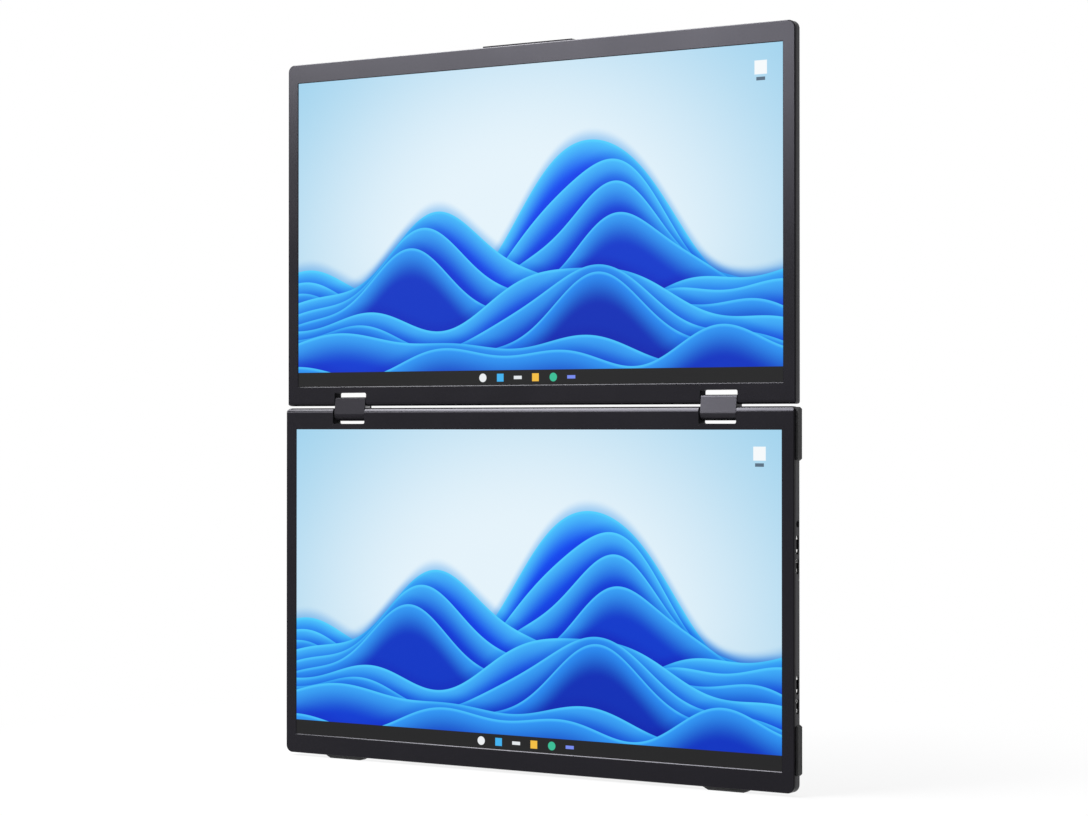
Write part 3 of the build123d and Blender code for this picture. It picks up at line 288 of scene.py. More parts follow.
def noise(tree, place, size, detail=2.0, stretch=(1, 1, 1)):
    """Soft random patches about one size across, in metres."""
    spot = made(tree, "ShaderNodeMapping", Vector=place, Scale=tuple(part / size for part in stretch))
    patches = put(tree, "ShaderNodeTexNoise", Vector=spot, Scale=1.0, Detail=detail)
    return Varying(tree, patches.outputs["Fac"])


def bump(tree, surface, height, depth, before=None):
    """Tilts the light on a surface as if it rose and fell by that depth, in metres."""
    under = {} if before is None else {"Normal": before}
    tilt = made(tree, "ShaderNodeBump", Strength=1.0, Distance=depth, Height=height, **under)
    feed(tree, surface, Normal=tilt)
    return tilt


print("grain comes from noise and bump")

# %% [markdown]
# ## Moulded plastic
#
# The frames and shells are moulded in dark plastic. A tool maker gives the steel mould a fine texture, so
# the surface is never perfectly smooth: light spreads over a close grain, and the gloss drifts a little
# from place to place. One function makes every moulding here, from the satin frame to the grainy back. It
# can take a mask of spots where the plastic is rougher and its colour is darkened nearly to black as painted
# shade.

# %% Moulded plastic finish
VIOLET = (0.88, 0.86, 1.0, 1.0)         # the mouldings' gloss has a faint cool tint
DRIFT_SIZE = 45 * MM                    # across one patch of the slow drift of gloss
TONE_DRIFT = 0.06                       # share by which the colour drifts either way
PAINTED_SHADE_TONE = 0.3                         # share of its colour that a spot of painted shade keeps
DULL_ROUGHNESS = 0.9


def moulded(name, colour, roughness, grain, depth, reflection=0.5, drift=0.06, dull_and_shade_where=None):
    """Textured plastic: fine grain in the height, slow changes of colour and gloss, and masked spots that are
    rougher and darkened as painted shade.
    """
    material, tree, surface = start_finish(name)
    place = own_place(tree)
    fine = noise(tree, place, grain, 2.0)
    slow = noise(tree, place, DRIFT_SIZE, 3.0)
    tone = mixed(tree, slow.spread(), scaled(colour, 1 - TONE_DRIFT), scaled(colour, 1 + TONE_DRIFT))
    gloss = slow.ramp(0.25, 0.75, roughness - drift / 2, roughness + drift / 2) + (fine - 0.5) * drift
    if dull_and_shade_where is not None:
        # The mask darkens the colour as painted shade, and raises the roughness
        dull = dull_and_shade_where(tree, place)
        tone = mixed(tree, dull, tone, scaled(colour, PAINTED_SHADE_TONE))
        gloss = gloss + dull * (DULL_ROUGHNESS - roughness)
    feed(tree, surface, Base_Color=tone, Roughness=gloss, Specular_IOR_Level=reflection,
         Specular_Tint=VIOLET)
    bump(tree, surface, fine, depth)
    return material


print(f"mouldings drift by {TONE_DRIFT:.0%} in colour")

# %% [markdown]
# ## Where shade is painted on the mouldings
#
# In the photograph the frames' rounded side rims, the walls of the notches that the hinge covers sit in,
# and partly the finger lip stay nearly black, because little light reaches them or mirrors off them. There
# the colour is darkened as painted shade, and the roughness is raised. A mask is a number worked out from
# the place of a point, 1 on such a spot and 0 elsewhere, so it needs no picture and stays in place when the
# display turns.

# %% Masks for the painted shade
SEAM = (high("lower_bezel").z + low("upper_bezel").z) / 2       # height of the line between the displays
NOTCH_GAP = 0.6 * MM            # between a hinge cover and the walls of its notch
NOTCH_REACH = 11 * MM           # of a notch above and below the seam
WALL_NEAR = 0.2 * MM            # a point this near to a notch wall lies on it
RIM_WIDE = 0.5 * MM             # of a frame's side rim, seen from the front
RIM_DEEP = 0.7 * MM             # of that rim, from the frame's front backwards
LIP_TALL = 0.85 * MM            # of the finger lip above the frame
# share of painted shade on the finger lip
LIP_SHADE = 0.5


def notch_wall_shade(tree, place):
    """1 on the walls of the hinge notches, where shade is painted, 0 elsewhere."""
    x, _, z = parts_of(tree, place)
    by_hinge = (z - SEAM).math("ABSOLUTE").within(NOTCH_REACH, 1 * MM)
    left, right = ((x - low(f"hinge_cover_{side}").x + NOTCH_GAP).math("ABSOLUTE").within(
        WALL_NEAR, 0.15 * MM) for side in ("left", "right"))
    return left.math("MAXIMUM", right) * by_hinge


def painted_shade_rims(tree, place):
    """Where shade is painted: 1 on the frames' side rims and on the notch walls, half on the finger lip, 0
    elsewhere.
    """
    x, y, z = parts_of(tree, place)
    half = (high("lower_bezel").x - low("lower_bezel").x) / 2
    front = z.ramp(SEAM - 0.3 * MM, SEAM + 0.3 * MM, low("lower_bezel").y, low("upper_bezel").y)
    rim = (x - middle("lower_bezel").x).math("ABSOLUTE").ramp(half - RIM_WIDE, half - RIM_WIDE + 0.3 * MM)
    rim = rim * (y - front).within(RIM_DEEP, 0.4 * MM)
    lip_foot = high("upper_bezel").z - LIP_TALL
    lip = z.ramp(lip_foot, lip_foot + 0.1 * MM, 0.0, LIP_SHADE)
    return rim.math("MAXIMUM", notch_wall_shade(tree, place)).math("MAXIMUM", lip)


print(f"the seam lies {SEAM / MM:.2f} mm above the desk")

# %% [markdown]
# ## The mouldings
#
# The frames are smooth and satin, the shells grainier. The two hinge covers are the same moulding, but in
# the photograph the left one returns less light than the right, so the left one takes a weaker reflection,
# which is painted shade. Keys and the plastic parts inside are plain mouldings.

# %% Plastics
COVER_COLOUR = linear(24, 23, 26)
COVER_SKIN = {"roughness": 0.26, "grain": 0.35 * MM, "depth": 0.002 * MM, "drift": 0.04}

# The masks darken the frames' side rims, the notch walls and the finger lip as painted shade
frame_plastic = moulded("frame_plastic", linear(12, 11, 14), roughness=0.2, grain=0.35 * MM,
                        depth=0.0008 * MM, reflection=0.16, drift=0.03, dull_and_shade_where=painted_shade_rims)
shell_plastic = moulded("shell_plastic", linear(26, 26, 27), roughness=0.46, grain=0.5 * MM,
                        depth=0.012 * MM, reflection=0.3, drift=0.03, dull_and_shade_where=notch_wall_shade)
# The left cover's weaker reflection is painted shade on the same moulding
left_cover = moulded("left_cover_plastic", COVER_COLOUR, reflection=0.04, **COVER_SKIN)
right_cover = moulded("right_cover_plastic", COVER_COLOUR, reflection=0.16, **COVER_SKIN)
key_plastic = moulded("key_plastic", linear(28, 28, 30), roughness=0.4, grain=0.3 * MM,
                      depth=0.003 * MM, reflection=0.45)
part_plastic = moulded("part_plastic", linear(24, 24, 25), roughness=0.5, grain=0.3 * MM,
                       depth=0.005 * MM)
print("plastics:", frame_plastic.name, shell_plastic.name, left_cover.name, right_cover.name)

# %% [markdown]
# ## Rubber
#
# Feet and pads are soft dark rubber, duller than the plastic, with the fine pitting of a moulded skin and
# a little pale dust in it. The cable's skin is the same kind of rubber, a little smoother.

# %% Rubber
PIT_SIZE = 0.6 * MM
PIT_DEPTH = 0.02 * MM
DUST_SIZE = 9 * MM
DUST_FROM, DUST_TO = 0.52, 0.78         # dust lies where its noise is above the first of these
DUST_MOST = 0.22                # share of the surface that dust takes where it is thickest
GLOSS_DRIFT = 0.08              # by which the roughness drifts either way
DUST_PALE = 2.4                 # how much paler dust is than the rubber


def rubbery(name, colour, roughness):
    """Dull rubber with fine pits, and a trace of dust on it."""
    material, tree, surface = start_finish(name)
    place = own_place(tree)
    pits = noise(tree, place, PIT_SIZE, 4.0)
    dust = noise(tree, place, DUST_SIZE, 3.0).ramp(DUST_FROM, DUST_TO, 0.0, DUST_MOST)
    tone = mixed(tree, dust, colour, scaled(colour, DUST_PALE))
    gloss = pits.spread(roughness - GLOSS_DRIFT, roughness + GLOSS_DRIFT)
    feed(tree, surface, Base_Color=tone, Roughness=gloss, Specular_IOR_Level=0.35)
    bump(tree, surface, pits, PIT_DEPTH)
    return material


foot_rubber = rubbery("foot_rubber", linear(38, 38, 39), 0.72)
cable_skin = rubbery("cable_skin", linear(26, 26, 27), 0.55)
print("rubber:", foot_rubber.name, cable_skin.name)

# %% [markdown]
# ## Plated and blackened metal
#
# The hinges are zinc-plated steel, brushed along the length of each pressing. The socket shells are dark
# nickel, their contacts are gilded, and the screws are blackened. All four have brush lines and dull
# patches, so one function takes the colour, the roughness and the way the lines run.

# %% Plated metals
BRUSH_SIZE = 0.5 * MM
BRUSH_DEPTH = 0.002 * MM
BRUSH_CONTRAST = 0.25           # how much the roughness changes between brush lines
PATCH_SIZE = 12 * MM
PATCH_TONE = 0.78               # share of its colour that a dull patch keeps


def plated(name, colour, roughness, brush):
    """Plated steel with fine brush lines along one direction, and dull patches."""
    material, tree, surface = start_finish(name)
    place = own_place(tree)
    lines = noise(tree, place, BRUSH_SIZE, 3.0, brush)
    patches = noise(tree, place, PATCH_SIZE, 3.0).ramp(0.35, NOISE_HIGH)
    tone = mixed(tree, patches, colour, scaled(colour, PATCH_TONE))
    gloss = (lines - 0.5) * BRUSH_CONTRAST + roughness
    feed(tree, surface, Base_Color=tone, Roughness=gloss, Metallic=1.0)
    bump(tree, surface, lines, BRUSH_DEPTH)
    return material


zinc = plated("zinc", (0.3, 0.3, 0.31, 1), 0.36, (0.04, 1, 1))
black_nickel = plated("black_nickel", (0.09, 0.09, 0.095, 1), 0.36, (0.1, 1, 1))
gold = plated("gold", (0.85, 0.62, 0.28, 1), 0.22, (0.2, 1, 1))
black_steel = plated("black_steel", (0.05, 0.05, 0.055, 1), 0.42, (1, 1, 1))
print("metals:", zinc.name, black_nickel.name, gold.name, black_steel.name)

# %% [markdown]
# ## Powder coat
#
# The foot plate is pressed steel with a powder coat, which is paint baked to a skin like orange peel. Two
# bumps of different size make it: soft swellings, and a finer tooth on top of them.

# %% Powder coat
PEEL_SIZE, PEEL_DEPTH = 1.1 * MM, 0.02 * MM
TOOTH_SIZE, TOOTH_DEPTH = 0.25 * MM, 0.004 * MM
PEEL_PALE = 1.25                # how much paler the tops of the swellings are


def powder_coat(name, colour):
    """Baked paint: small soft swellings under a finer tooth."""
    material, tree, surface = start_finish(name)
    place = own_place(tree)
    peel = noise(tree, place, PEEL_SIZE, 1.0)
    tooth = noise(tree, place, TOOTH_SIZE, 2.0)
    tone = mixed(tree, peel.ramp(0.4, NOISE_HIGH), colour, scaled(colour, PEEL_PALE))
    feed(tree, surface, Base_Color=tone, Roughness=tooth.spread(0.46, 0.6))
    swellings = bump(tree, surface, peel, PEEL_DEPTH)
    bump(tree, surface, tooth, TOOTH_DEPTH, swellings)
    return material


coated_steel = powder_coat("coated_steel", linear(38, 38, 40))
print("paint:", coated_steel.name)

# %% [markdown]
# ## Circuit boards
#
# Inside lie green circuit boards with copper tracks under the lacquer. They hardly show, but an open or
# exploded view needs them right. A brick pattern turned upright, with very thin joints, gives a close
# array of tracks.

# %% Circuit boards
TRACK_LONG, TRACK_TALL, TRACK_LINE = 3.1 * MM, 0.7 * MM, 0.08 * MM
TRACK_DEPTH = 0.01 * MM


def circuit_board(name):
    """Green lacquer over a close pattern of tracks."""
    material, tree, surface = start_finish(name)
    place = own_place(tree)
    upright = made(tree, "ShaderNodeMapping", Vector=place, Rotation=(math.radians(90), 0, 0))
    tracks = put(tree, "ShaderNodeTexBrick", Vector=upright, Scale=1.0, Brick_Width=TRACK_LONG,
                 Row_Height=TRACK_TALL, Mortar_Size=TRACK_LINE, Color1=linear(14, 66, 44),
                 Color2=linear(17, 78, 50), Mortar=linear(44, 112, 72))
    gloss = noise(tree, place, 2 * MM).spread(0.3, 0.42)
    feed(tree, surface, Base_Color=tracks.outputs["Color"], Roughness=gloss)
    bump(tree, surface, tracks.outputs["Fac"], TRACK_DEPTH)
    return material


board_green = circuit_board("board_green")
print("boards:", board_green.name)

# %% [markdown]
# ## Light guides and lenses
#
# A clear sheet spreads the light behind each screen, and two tiny smoky lenses cover the status lamps. Both
# are clear plastic with a faint haze, which is a roughness that changes a little over the sheet.

# %% Clear plastic
CLEARNESS = 0.6                 # share of the light that goes through
HAZE_SIZE = 4 * MM


def clear_plastic(name, colour, roughness):
    """Clear plastic with a faint haze."""
    material, tree, surface = start_finish(name)
    haze = noise(tree, own_place(tree), HAZE_SIZE, 2.0)
    feed(tree, surface, Base_Color=colour, Roughness=haze.spread(roughness, roughness + 0.1),
         Transmission_Weight=CLEARNESS)
    return material


guide_clear = clear_plastic("guide_clear", (0.9, 0.92, 0.93, 1), 0.1)
lens_clear = clear_plastic("lens_clear", (0.25, 0.27, 0.26, 1), 0.15)
print("clear parts:", guide_clear.name, lens_clear.name)

# %% [markdown]
# ## The picture on the screens
#
# The screens glow with a pale blue sky over smooth blue sheets, stacked like cut paper. Each sheet is a
# curve: everything below it belongs to the sheet. The curve is a sum of a few waves and one hill, so a
# short table describes the whole picture, and a loop draws the sheets from the back to the front.

# %% The table of sheets
SKY_MIDDLE = linear(228, 242, 250)
SKY_EDGE = linear(158, 209, 236)
SKY_LOW = linear(201, 225, 240)
SKY_LOW_TALL = 90 * MM          # height over which the sky takes its lower colour
GLOW_UP = 70 * MM               # height of the brightest spot of the sky
GLOW_WIDE, GLOW_TALL = 240 * MM, 200 * MM
GLOW_INNER, GLOW_OUTER = 0.3, 1.05      # shares of that size between which the glow fades
CREST_PALE = linear(84, 216, 255)
CREST_BLUE = linear(0, 122, 255)
DEEP_PALE = linear(0, 76, 246)
DEEP_BLUE = linear(0, 20, 146)
SHEET_SHADE = (0.2, 0.54, 0.9, 1.0)

# Height of the crest, then one hill (height, place, half width) and two waves (height, length, offset),
# in millimetres from the middle of the screen's lower edge, and how dark the sheet is
SHEETS = [
    (62, (78, 48, 62), (9, 210, 0.4), (3.5, 84, 1.0), 0.10),
    (56, (74, 58, 58), (8, 200, 0.9), (3.5, 80, 1.7), 0.22),
    (50, (70, 66, 54), (8, 190, 1.4), (3.0, 76, 2.5), 0.36),
    (45, (62, 72, 50), (7, 180, 1.9), (3.0, 72, 3.2), 0.52),
    (58, (38, -62, 56), (8, 230, 3.1), (4.0, 90, 0.2), 0.20),
    (50, (36, -74, 52), (8, 215, 3.6), (4.0, 86, 1.0), 0.38),
    (42, (33, -86, 48), (7, 200, 4.1), (3.5, 82, 1.8), 0.58),
    (34, (44, 24, 60), (9, 240, 5.0), (4.0, 96, 2.6), 0.30),
    (28, (40, 34, 54), (8, 225, 5.5), (3.5, 92, 3.4), 0.50),
    (22, (34, 46, 50), (8, 210, 6.0), (3.5, 88, 4.2), 0.72),
    (20, (22, -120, 46), (7, 260, 1.2), (4.0, 104, 5.0), 0.45),
    (15, (20, 128, 44), (7, 250, 2.2), (4.0, 100, 5.8), 0.62),
]
print(f"{len(SHEETS)} sheets")

# %% [markdown]
# ## Drawing the sheets
#
# Each sheet is bright at its crest and deep blue below, and drops a soft shadow on the one behind it. All
# of this follows from one number, how far a point lies below the crest, so the sheet's colour, its bright
# rim and its shadow are ramps of that distance.

# %% Sky and sheets
SHADOW_FROM, SHADOW_TO = -8 * MM, 1 * MM        # distances below the crest; above it they are negative
SHADOW_MOST = 0.7
DEEPEN_FROM, DEEPEN_TO = -6 * MM, 20 * MM       # from the crest's colour to the deep one
RIM_FULL, RIM_GONE = 0.5 * MM, 2.2 * MM         # the pale line along the crest
RIM_MOST = 0.5
CUT_SOFT = 0.15 * MM                            # half the width over which a sheet's edge blends


def crest_height(across, base, hill, wave, ripple):
    """The crest of one sheet over the width, in metres."""
    hill_height, hill_at, hill_width = hill
    offset = (across - hill_at * MM) / (hill_width * MM)
    rise = (offset * offset * -1).math("EXPONENT") * (hill_height * MM)
    line = rise + base * MM
    for height, length, turn in (wave, ripple):
        angle = across * (2 * math.pi / (length * MM)) + turn
        line = line + angle.math("SINE") * (height * MM)
    return line


def between(first, second, share):
    """A colour part of the way from one to another."""
    return tuple(a + (b - a) * share for a, b in zip(first, second))


def sky(tree, across, up):
    """A pale glow that darkens towards the corners and turns greyer low down."""
    side = across / GLOW_WIDE
    rise = (up - GLOW_UP) / GLOW_TALL
    away = (side * side + rise * rise).math("SQRT")
    glow = mixed(tree, away.ramp(GLOW_INNER, GLOW_OUTER), SKY_MIDDLE, SKY_EDGE)
    return mixed(tree, up.ramp(SKY_LOW_TALL, 0.0), glow, SKY_LOW)


def blue_sheets(tree, across, up):
    """The whole picture above the task strip, as a colour."""
    picture = sky(tree, across, up)
    for base, hill, wave, ripple, dark in SHEETS:
        below = crest_height(across, base, hill, wave, ripple) - up
        shadow = below.ramp(SHADOW_FROM, SHADOW_TO, 0.0, SHADOW_MOST)
        picture = mixed(tree, shadow, picture, SHEET_SHADE, "MULTIPLY")
        crest, deep = between(CREST_PALE, CREST_BLUE, dark), between(DEEP_PALE, DEEP_BLUE, dark)
        sheet = mixed(tree, below.ramp(DEEPEN_FROM, DEEPEN_TO), crest, deep)
        rim = below.ramp(RIM_FULL, RIM_GONE, RIM_MOST, 0.0)
        sheet = mixed(tree, rim, sheet, CREST_PALE)
        picture = mixed(tree, below.ramp(-CUT_SOFT, CUT_SOFT), picture, sheet)
    return picture


print("front sheet is", SHEETS[-1][0], "mm high")

# %% [markdown]
# ## The strip and its marks
#
# A dark strip with a few small coloured marks runs along the lower edge of each screen, and one pale tile
# with a short bar under it sits in an upper corner. The marks are plain discs, squares and bars. Each is a
# distance: where the distance to the mark's middle is under its size, the mark's colour shows.

# %% Strip and marks
STRIP_TALL = 9.1 * MM
STRIP_GREY = linear(34, 34, 35)
MARK_PITCH = 12.6 * MM
MARK_SIZE = 2.6 * MM
SQUARE_SIZE = 0.92 * MARK_SIZE
BAR_NARROW, BAR_FLAT = 0.92, 2.6        # a bar is a disc's size over these, wide and tall
MARK_EDGE = 0.04                # half the width over which a mark's edge blends, in its own size
MARKS = [
    ("disc", linear(236, 239, 242)), ("square", linear(66, 178, 240)), ("bar", linear(228, 232, 236)),
    ("square", linear(244, 190, 66)), ("disc", linear(58, 190, 150)), ("bar", linear(120, 140, 240)),
]
TILE_AT = (158 * MM, 180 * MM)
TILE_SHRINK = 0.6               # the tile is a square mark, drawn larger by one over this
TILE_WHITE = linear(244, 248, 250)
LABEL_AT = (158 * MM, 173.5 * MM)
LABEL_GREY = linear(90, 110, 128)


def mark_cover(across, up, shape, at):
    """1 inside one small mark and 0 outside it."""
    side, rise = across - at[0], up - at[1]
    if shape == "disc":
        reach = (side * side + rise * rise).math("SQRT") / MARK_SIZE
    elif shape == "square":
        reach = side.math("ABSOLUTE").math("MAXIMUM", rise.math("ABSOLUTE")) / SQUARE_SIZE
    else:
        reach = (side.math("ABSOLUTE") * BAR_NARROW).math("MAXIMUM", rise.math("ABSOLUTE") * BAR_FLAT)
        reach = reach / MARK_SIZE
    return reach.ramp(1 + MARK_EDGE, 1 - MARK_EDGE)


def strip_and_marks(tree, across, up, picture):
    """The picture with the tile, its bar, the strip and the row of marks over it."""
    tile_at = tuple(TILE_SHRINK * part for part in TILE_AT)
    tile = mark_cover(across * TILE_SHRINK, up * TILE_SHRINK, "square", tile_at)
    picture = mixed(tree, tile, picture, TILE_WHITE)
    picture = mixed(tree, mark_cover(across, up, "bar", LABEL_AT), picture, LABEL_GREY)
    picture = mixed(tree, up.ramp(STRIP_TALL + 0.1 * MM, STRIP_TALL - 0.1 * MM), picture, STRIP_GREY)
    for index, (shape, colour) in enumerate(MARKS):
        at = (index - (len(MARKS) - 1) / 2) * MARK_PITCH
        picture = mixed(tree, mark_cover(across, up, shape, (at, STRIP_TALL / 2)), picture, colour)
    return picture


print(f"{len(MARKS)} marks, {MARK_PITCH / MM:.1f} mm apart")

# %% [markdown]
# ## The matt screen face
#
# A screen gives its own light, so the picture goes into the shader's emission. The face itself is almost
# black, with a fine haze that breaks up reflections.

# %% Screen finishes
FACE_BLACK = (0.002, 0.002, 0.002, 1)
FACE_REFLECTION = 0.03
HAZE_GRAIN = 0.3 * MM


def screen_finish(name, node):
    """A matt screen face that glows with the picture."""
    material, tree, surface = start_finish(name)
    place = own_place(tree)
    x, _, z = parts_of(tree, place)
    across = x - middle(node).x
    up = z - (low(node).z + CELL_BORDER)
    picture = strip_and_marks(tree, across, up, blue_sheets(tree, across, up))
    haze = noise(tree, place, HAZE_GRAIN, 1.0).ramp(0.2, 0.8, 0.42, 0.5)
    feed(tree, surface, Base_Color=FACE_BLACK, Specular_IOR_Level=FACE_REFLECTION, Roughness=haze,
         Emission_Color=picture, Emission_Strength=1.0)
    return material


upper_picture = screen_finish("upper_picture", "upper_lcd_cell")
lower_picture = screen_finish("lower_picture", "lower_lcd_cell")
print(f"{len(upper_picture.node_tree.nodes)} nodes draw each screen")

# %% [markdown]
# ## Finishes on the solids
#
# Each solid takes one finish. A table of parts of names is easier to check than sixty separate lines. The
# first line that fits a solid's name counts, and the step stops if a solid is left without a finish.

# %% Dress every solid
FINISHES = [
    ("upper_lcd_cell", upper_picture), ("lower_lcd_cell", lower_picture), ("bezel", frame_plastic),
    ("rear_cover", shell_plastic), ("hinge_cover_left", left_cover), ("hinge_cover_right", right_cover),
    ("menu_rocker", key_plastic), ("backlight_tray", zinc), ("backlight", guide_clear),
    ("cover_screws", black_steel), ("stand_plate", coated_steel), ("mini_hdmi", black_nickel),
    ("usb_c", black_nickel), ("timing_board", board_green), ("video_board", board_green),
    ("board_chips", part_plastic), ("audio_jack", part_plastic), ("speaker", part_plastic),
    ("foot", foot_rubber), ("stand_strip", foot_rubber), ("board_ribbons", cable_skin),
    ("cable", cable_skin), ("status_lenses", lens_clear), ("hinge_", zinc), ("bracket", zinc),
    ("idler", zinc), ("washers", zinc), ("pins", zinc),
]
for node, solid in solids.items():
    finish = next((material for part, material in FINISHES if part in node), None)
    if finish is None:
        raise ValueError(f"{node} has no finish")
    solid.data.materials.clear()
    solid.data.materials.append(finish)
print(f"{len(solids)} solids dressed")

# %% [markdown]
# ## Geometry Nodes for what repeats
#
# Screws, contacts and mesh wires repeat in rows. A Geometry Nodes tree makes one and sets copies of it on
# points, with its sizes as named inputs. These helpers start such a tree, copy and join shapes in it, and
# end it with real geometry, because copies that are only instances get lost when the model is exported.

# %% Helpers for trees


def start_tree(name, *sizes):
    """A Geometry Nodes tree that makes a mesh, with its two kinds of input: points and named sizes."""
    tree = bpy.data.node_groups.new(name, "GeometryNodeTree")
    tree.interface.new_socket("Points", in_out="INPUT", socket_type="NodeSocketGeometry")
    tree.interface.new_socket("Mesh", in_out="OUTPUT", socket_type="NodeSocketGeometry")
    for label in sizes:
        kind = "NodeSocketInt" if label == "Count" else "NodeSocketFloat"
        tree.interface.new_socket(label, in_out="INPUT", socket_type=kind)
    given = put(tree, "NodeGroupInput").outputs
    return tree, given["Points"], {label: Varying(tree, given[label]) for label in sizes}


def vector(tree, **parts):
    """A vector from its X, Y and Z, where a part that isn't given is 0."""
    return made(tree, "ShaderNodeCombineXYZ", **parts)


def copied(tree, shape, points, turn=(0, 0, 0)):
    """Copies of a shape on points."""
    return made(tree, "GeometryNodeInstanceOnPoints", Points=points, Instance=shape, Rotation=turn)


def joined(tree, *shapes):
    """One geometry out of several."""
    node = tree.nodes.new("GeometryNodeJoinGeometry")
    for shape in shapes:
        tree.links.new(shape, node.inputs[0])
    return node.outputs[0]


def finish_tree(tree, shape, material):
    """Ends a tree: real geometry in place of instances, and one material."""
    real = made(tree, "GeometryNodeRealizeInstances", Geometry=shape)
    painted = made(tree, "GeometryNodeSetMaterial", Geometry=real, Material=material)
    put(tree, "NodeGroupOutput", Mesh=painted)


print("tree helpers ready")

# %% [markdown]
# ## Growing a piece
#
# A tree works as a modifier on an object that holds the points. Its result is then copied to a plain mesh
# and the object with the points is removed, so that each piece is an ordinary mesh in the end.

# %% Run a tree on points


def grow(name, tree, points, **sizes):
    """Runs a tree on some points and keeps its result as a plain mesh."""
    seed = bpy.data.meshes.new(name + "_points")
    seed.from_pydata([tuple(point) for point in points], [], [])
    holder = bpy.data.objects.new(name + "_holder", seed)
    modifier = holder.modifiers.new("rows", "NODES")
    modifier.node_group = tree
    for item in tree.interface.items_tree:
        label = item.name.replace(" ", "_")
        if item.in_out == "INPUT" and label in sizes:
            modifier[item.identifier] = sizes[label]
    scene.collection.objects.link(holder)
    bpy.context.view_layer.update()
    evaluated = holder.evaluated_get(bpy.context.evaluated_depsgraph_get())
    mesh = bpy.data.meshes.new_from_object(evaluated)
    bpy.data.objects.remove(holder)
    piece = bpy.data.objects.new(name, mesh)
    mesh.name = name
    scene.collection.objects.link(piece)
    print(f"{name}: {len(mesh.polygons)} faces")
    return piece


print("a piece can grow on any set of points")

# %% [markdown]
# ## Screws with a cross recess
#
# Six small countersunk screws hold each back shell. Their heads lie flush, and each has a cross recess for
# the driver. The tree turns a cone for the head, sinks two crossed slots in it, adds the shank, and sets
# the screw on each point.

# %% The screw tree
SCREW_HEAD = 1.7 * MM           # radius of the head's flat face
SCREW_SHANK = 1.0 * MM
SCREW_CONE = 0.7 * MM           # height of the head
SCREW_LONG = 4.0 * MM
SLOT_LONG, SLOT_WIDE = 1.25, 0.24       # shares of the head's radius
SLOT_DEEP = 1.1                 # share of the head's height
SCREW_TURN = 20                 # degrees by which the recess is off the upright

screw_tree, points, size = start_tree("cross_screws", "Head", "Shank", "Cone", "Long")
head = made(screw_tree, "GeometryNodeMeshCone", Vertices=28, Radius_Top=size["Head"],
            Radius_Bottom=size["Shank"], Depth=size["Cone"])
slot_size = vector(screw_tree, X=size["Head"] * SLOT_LONG, Y=size["Head"] * SLOT_WIDE,
                   Z=size["Cone"] * SLOT_DEEP)
slot = made(screw_tree, "GeometryNodeMeshCube", Size=slot_size)
first_slot = made(screw_tree, "GeometryNodeTransform", Geometry=slot,
                  Translation=vector(screw_tree, Z=size["Cone"]))
second_slot = made(screw_tree, "GeometryNodeTransform", Geometry=first_slot,
                   Rotation=(0, 0, math.radians(90)))
carved = made(screw_tree, "GeometryNodeMeshBoolean", {"operation": "DIFFERENCE"}, Mesh_1=head,
              Mesh_2=joined(screw_tree, first_slot, second_slot))
shank = made(screw_tree, "GeometryNodeMeshCylinder", Vertices=16, Radius=size["Shank"], Depth=size["Long"])
shank_low = made(screw_tree, "GeometryNodeTransform", Geometry=shank,
                 Translation=vector(screw_tree, Z=size["Long"] * -0.5))
all_screws = copied(screw_tree, joined(screw_tree, carved, shank_low), points,
                    turn=(math.radians(-90), math.radians(SCREW_TURN), 0))
finish_tree(screw_tree, all_screws, black_steel)
print(f"{len(screw_tree.nodes)} nodes make a screw")

# %% [markdown]
# ## Setting the screws
#
# The screws stand in for the plain ones among the solids, so their places come from those: three heights
# on the left and the same on the right. The plain screws are then hidden, and the new ones move with the
# display that they hold together.

# %% Set the screws
SCREW_REACH = (35 * MM, 114 * MM)       # of the first two heights from the hinge edge


def back_screw_points(unit):
    """Where the screws' cones begin, from the solid that they stand for."""
    node = f"{unit}_cover_screws"
    x0, x1 = low(node).x + SCREW_HEAD, high(node).x - SCREW_HEAD
    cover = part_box(f"{unit}_rear_cover")
    hinge, inward = (cover[0].z, 1) if unit == "upper" else (cover[1].z, -1)
    free = high(node).z - SCREW_HEAD if unit == "upper" else low(node).z + SCREW_HEAD
    heights = [hinge + inward * reach for reach in SCREW_REACH] + [free]
    y = high(node).y - SCREW_CONE
    return [(x, y, z) for x in (x0, x1) for z in heights]


for unit in ("upper", "lower"):
    screws = grow(f"{unit}_back_screws", screw_tree, back_screw_points(unit), Head=SCREW_HEAD,
                  Shank=SCREW_SHANK, Cone=SCREW_CONE, Long=SCREW_LONG)
    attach(screws, f"{unit}_unit")
    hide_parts(f"{unit}_cover_screws")

# %% [markdown]
# ## Contacts in the sockets
#
# Each socket's tongue carries a row of gilded contacts on both sides. The tree makes one row of flat bars
# and sets it on each point, from the pitch, the count and the size of a bar.

# %% The contact tree
contact_tree, points, size = start_tree("contact_rows", "Count", "Pitch", "Long", "Wide", "Thick")
step = vector(contact_tree, Z=size["Pitch"])
begin = vector(contact_tree, Z=(size["Count"] - 1) * size["Pitch"] * -0.5)
row = made(contact_tree, "GeometryNodeMeshLine", {"mode": "OFFSET"}, Count=size["Count"],
           Start_Location=begin, Offset=step)
bar_size = vector(contact_tree, X=size["Long"], Y=size["Thick"], Z=size["Wide"])
contact = made(contact_tree, "GeometryNodeMeshCube", Size=bar_size)
one_row = copied(contact_tree, contact, row)
finish_tree(contact_tree, copied(contact_tree, one_row, points), gold)
print(f"{len(contact_tree.nodes)} nodes make a row of contacts")

# %% [markdown]
# ## Setting the contacts
#
# Two kinds of socket sit in the wall, two of each. A row goes on both sides of every tongue, which is four
# rows for each kind, and the rows of one kind are one piece.

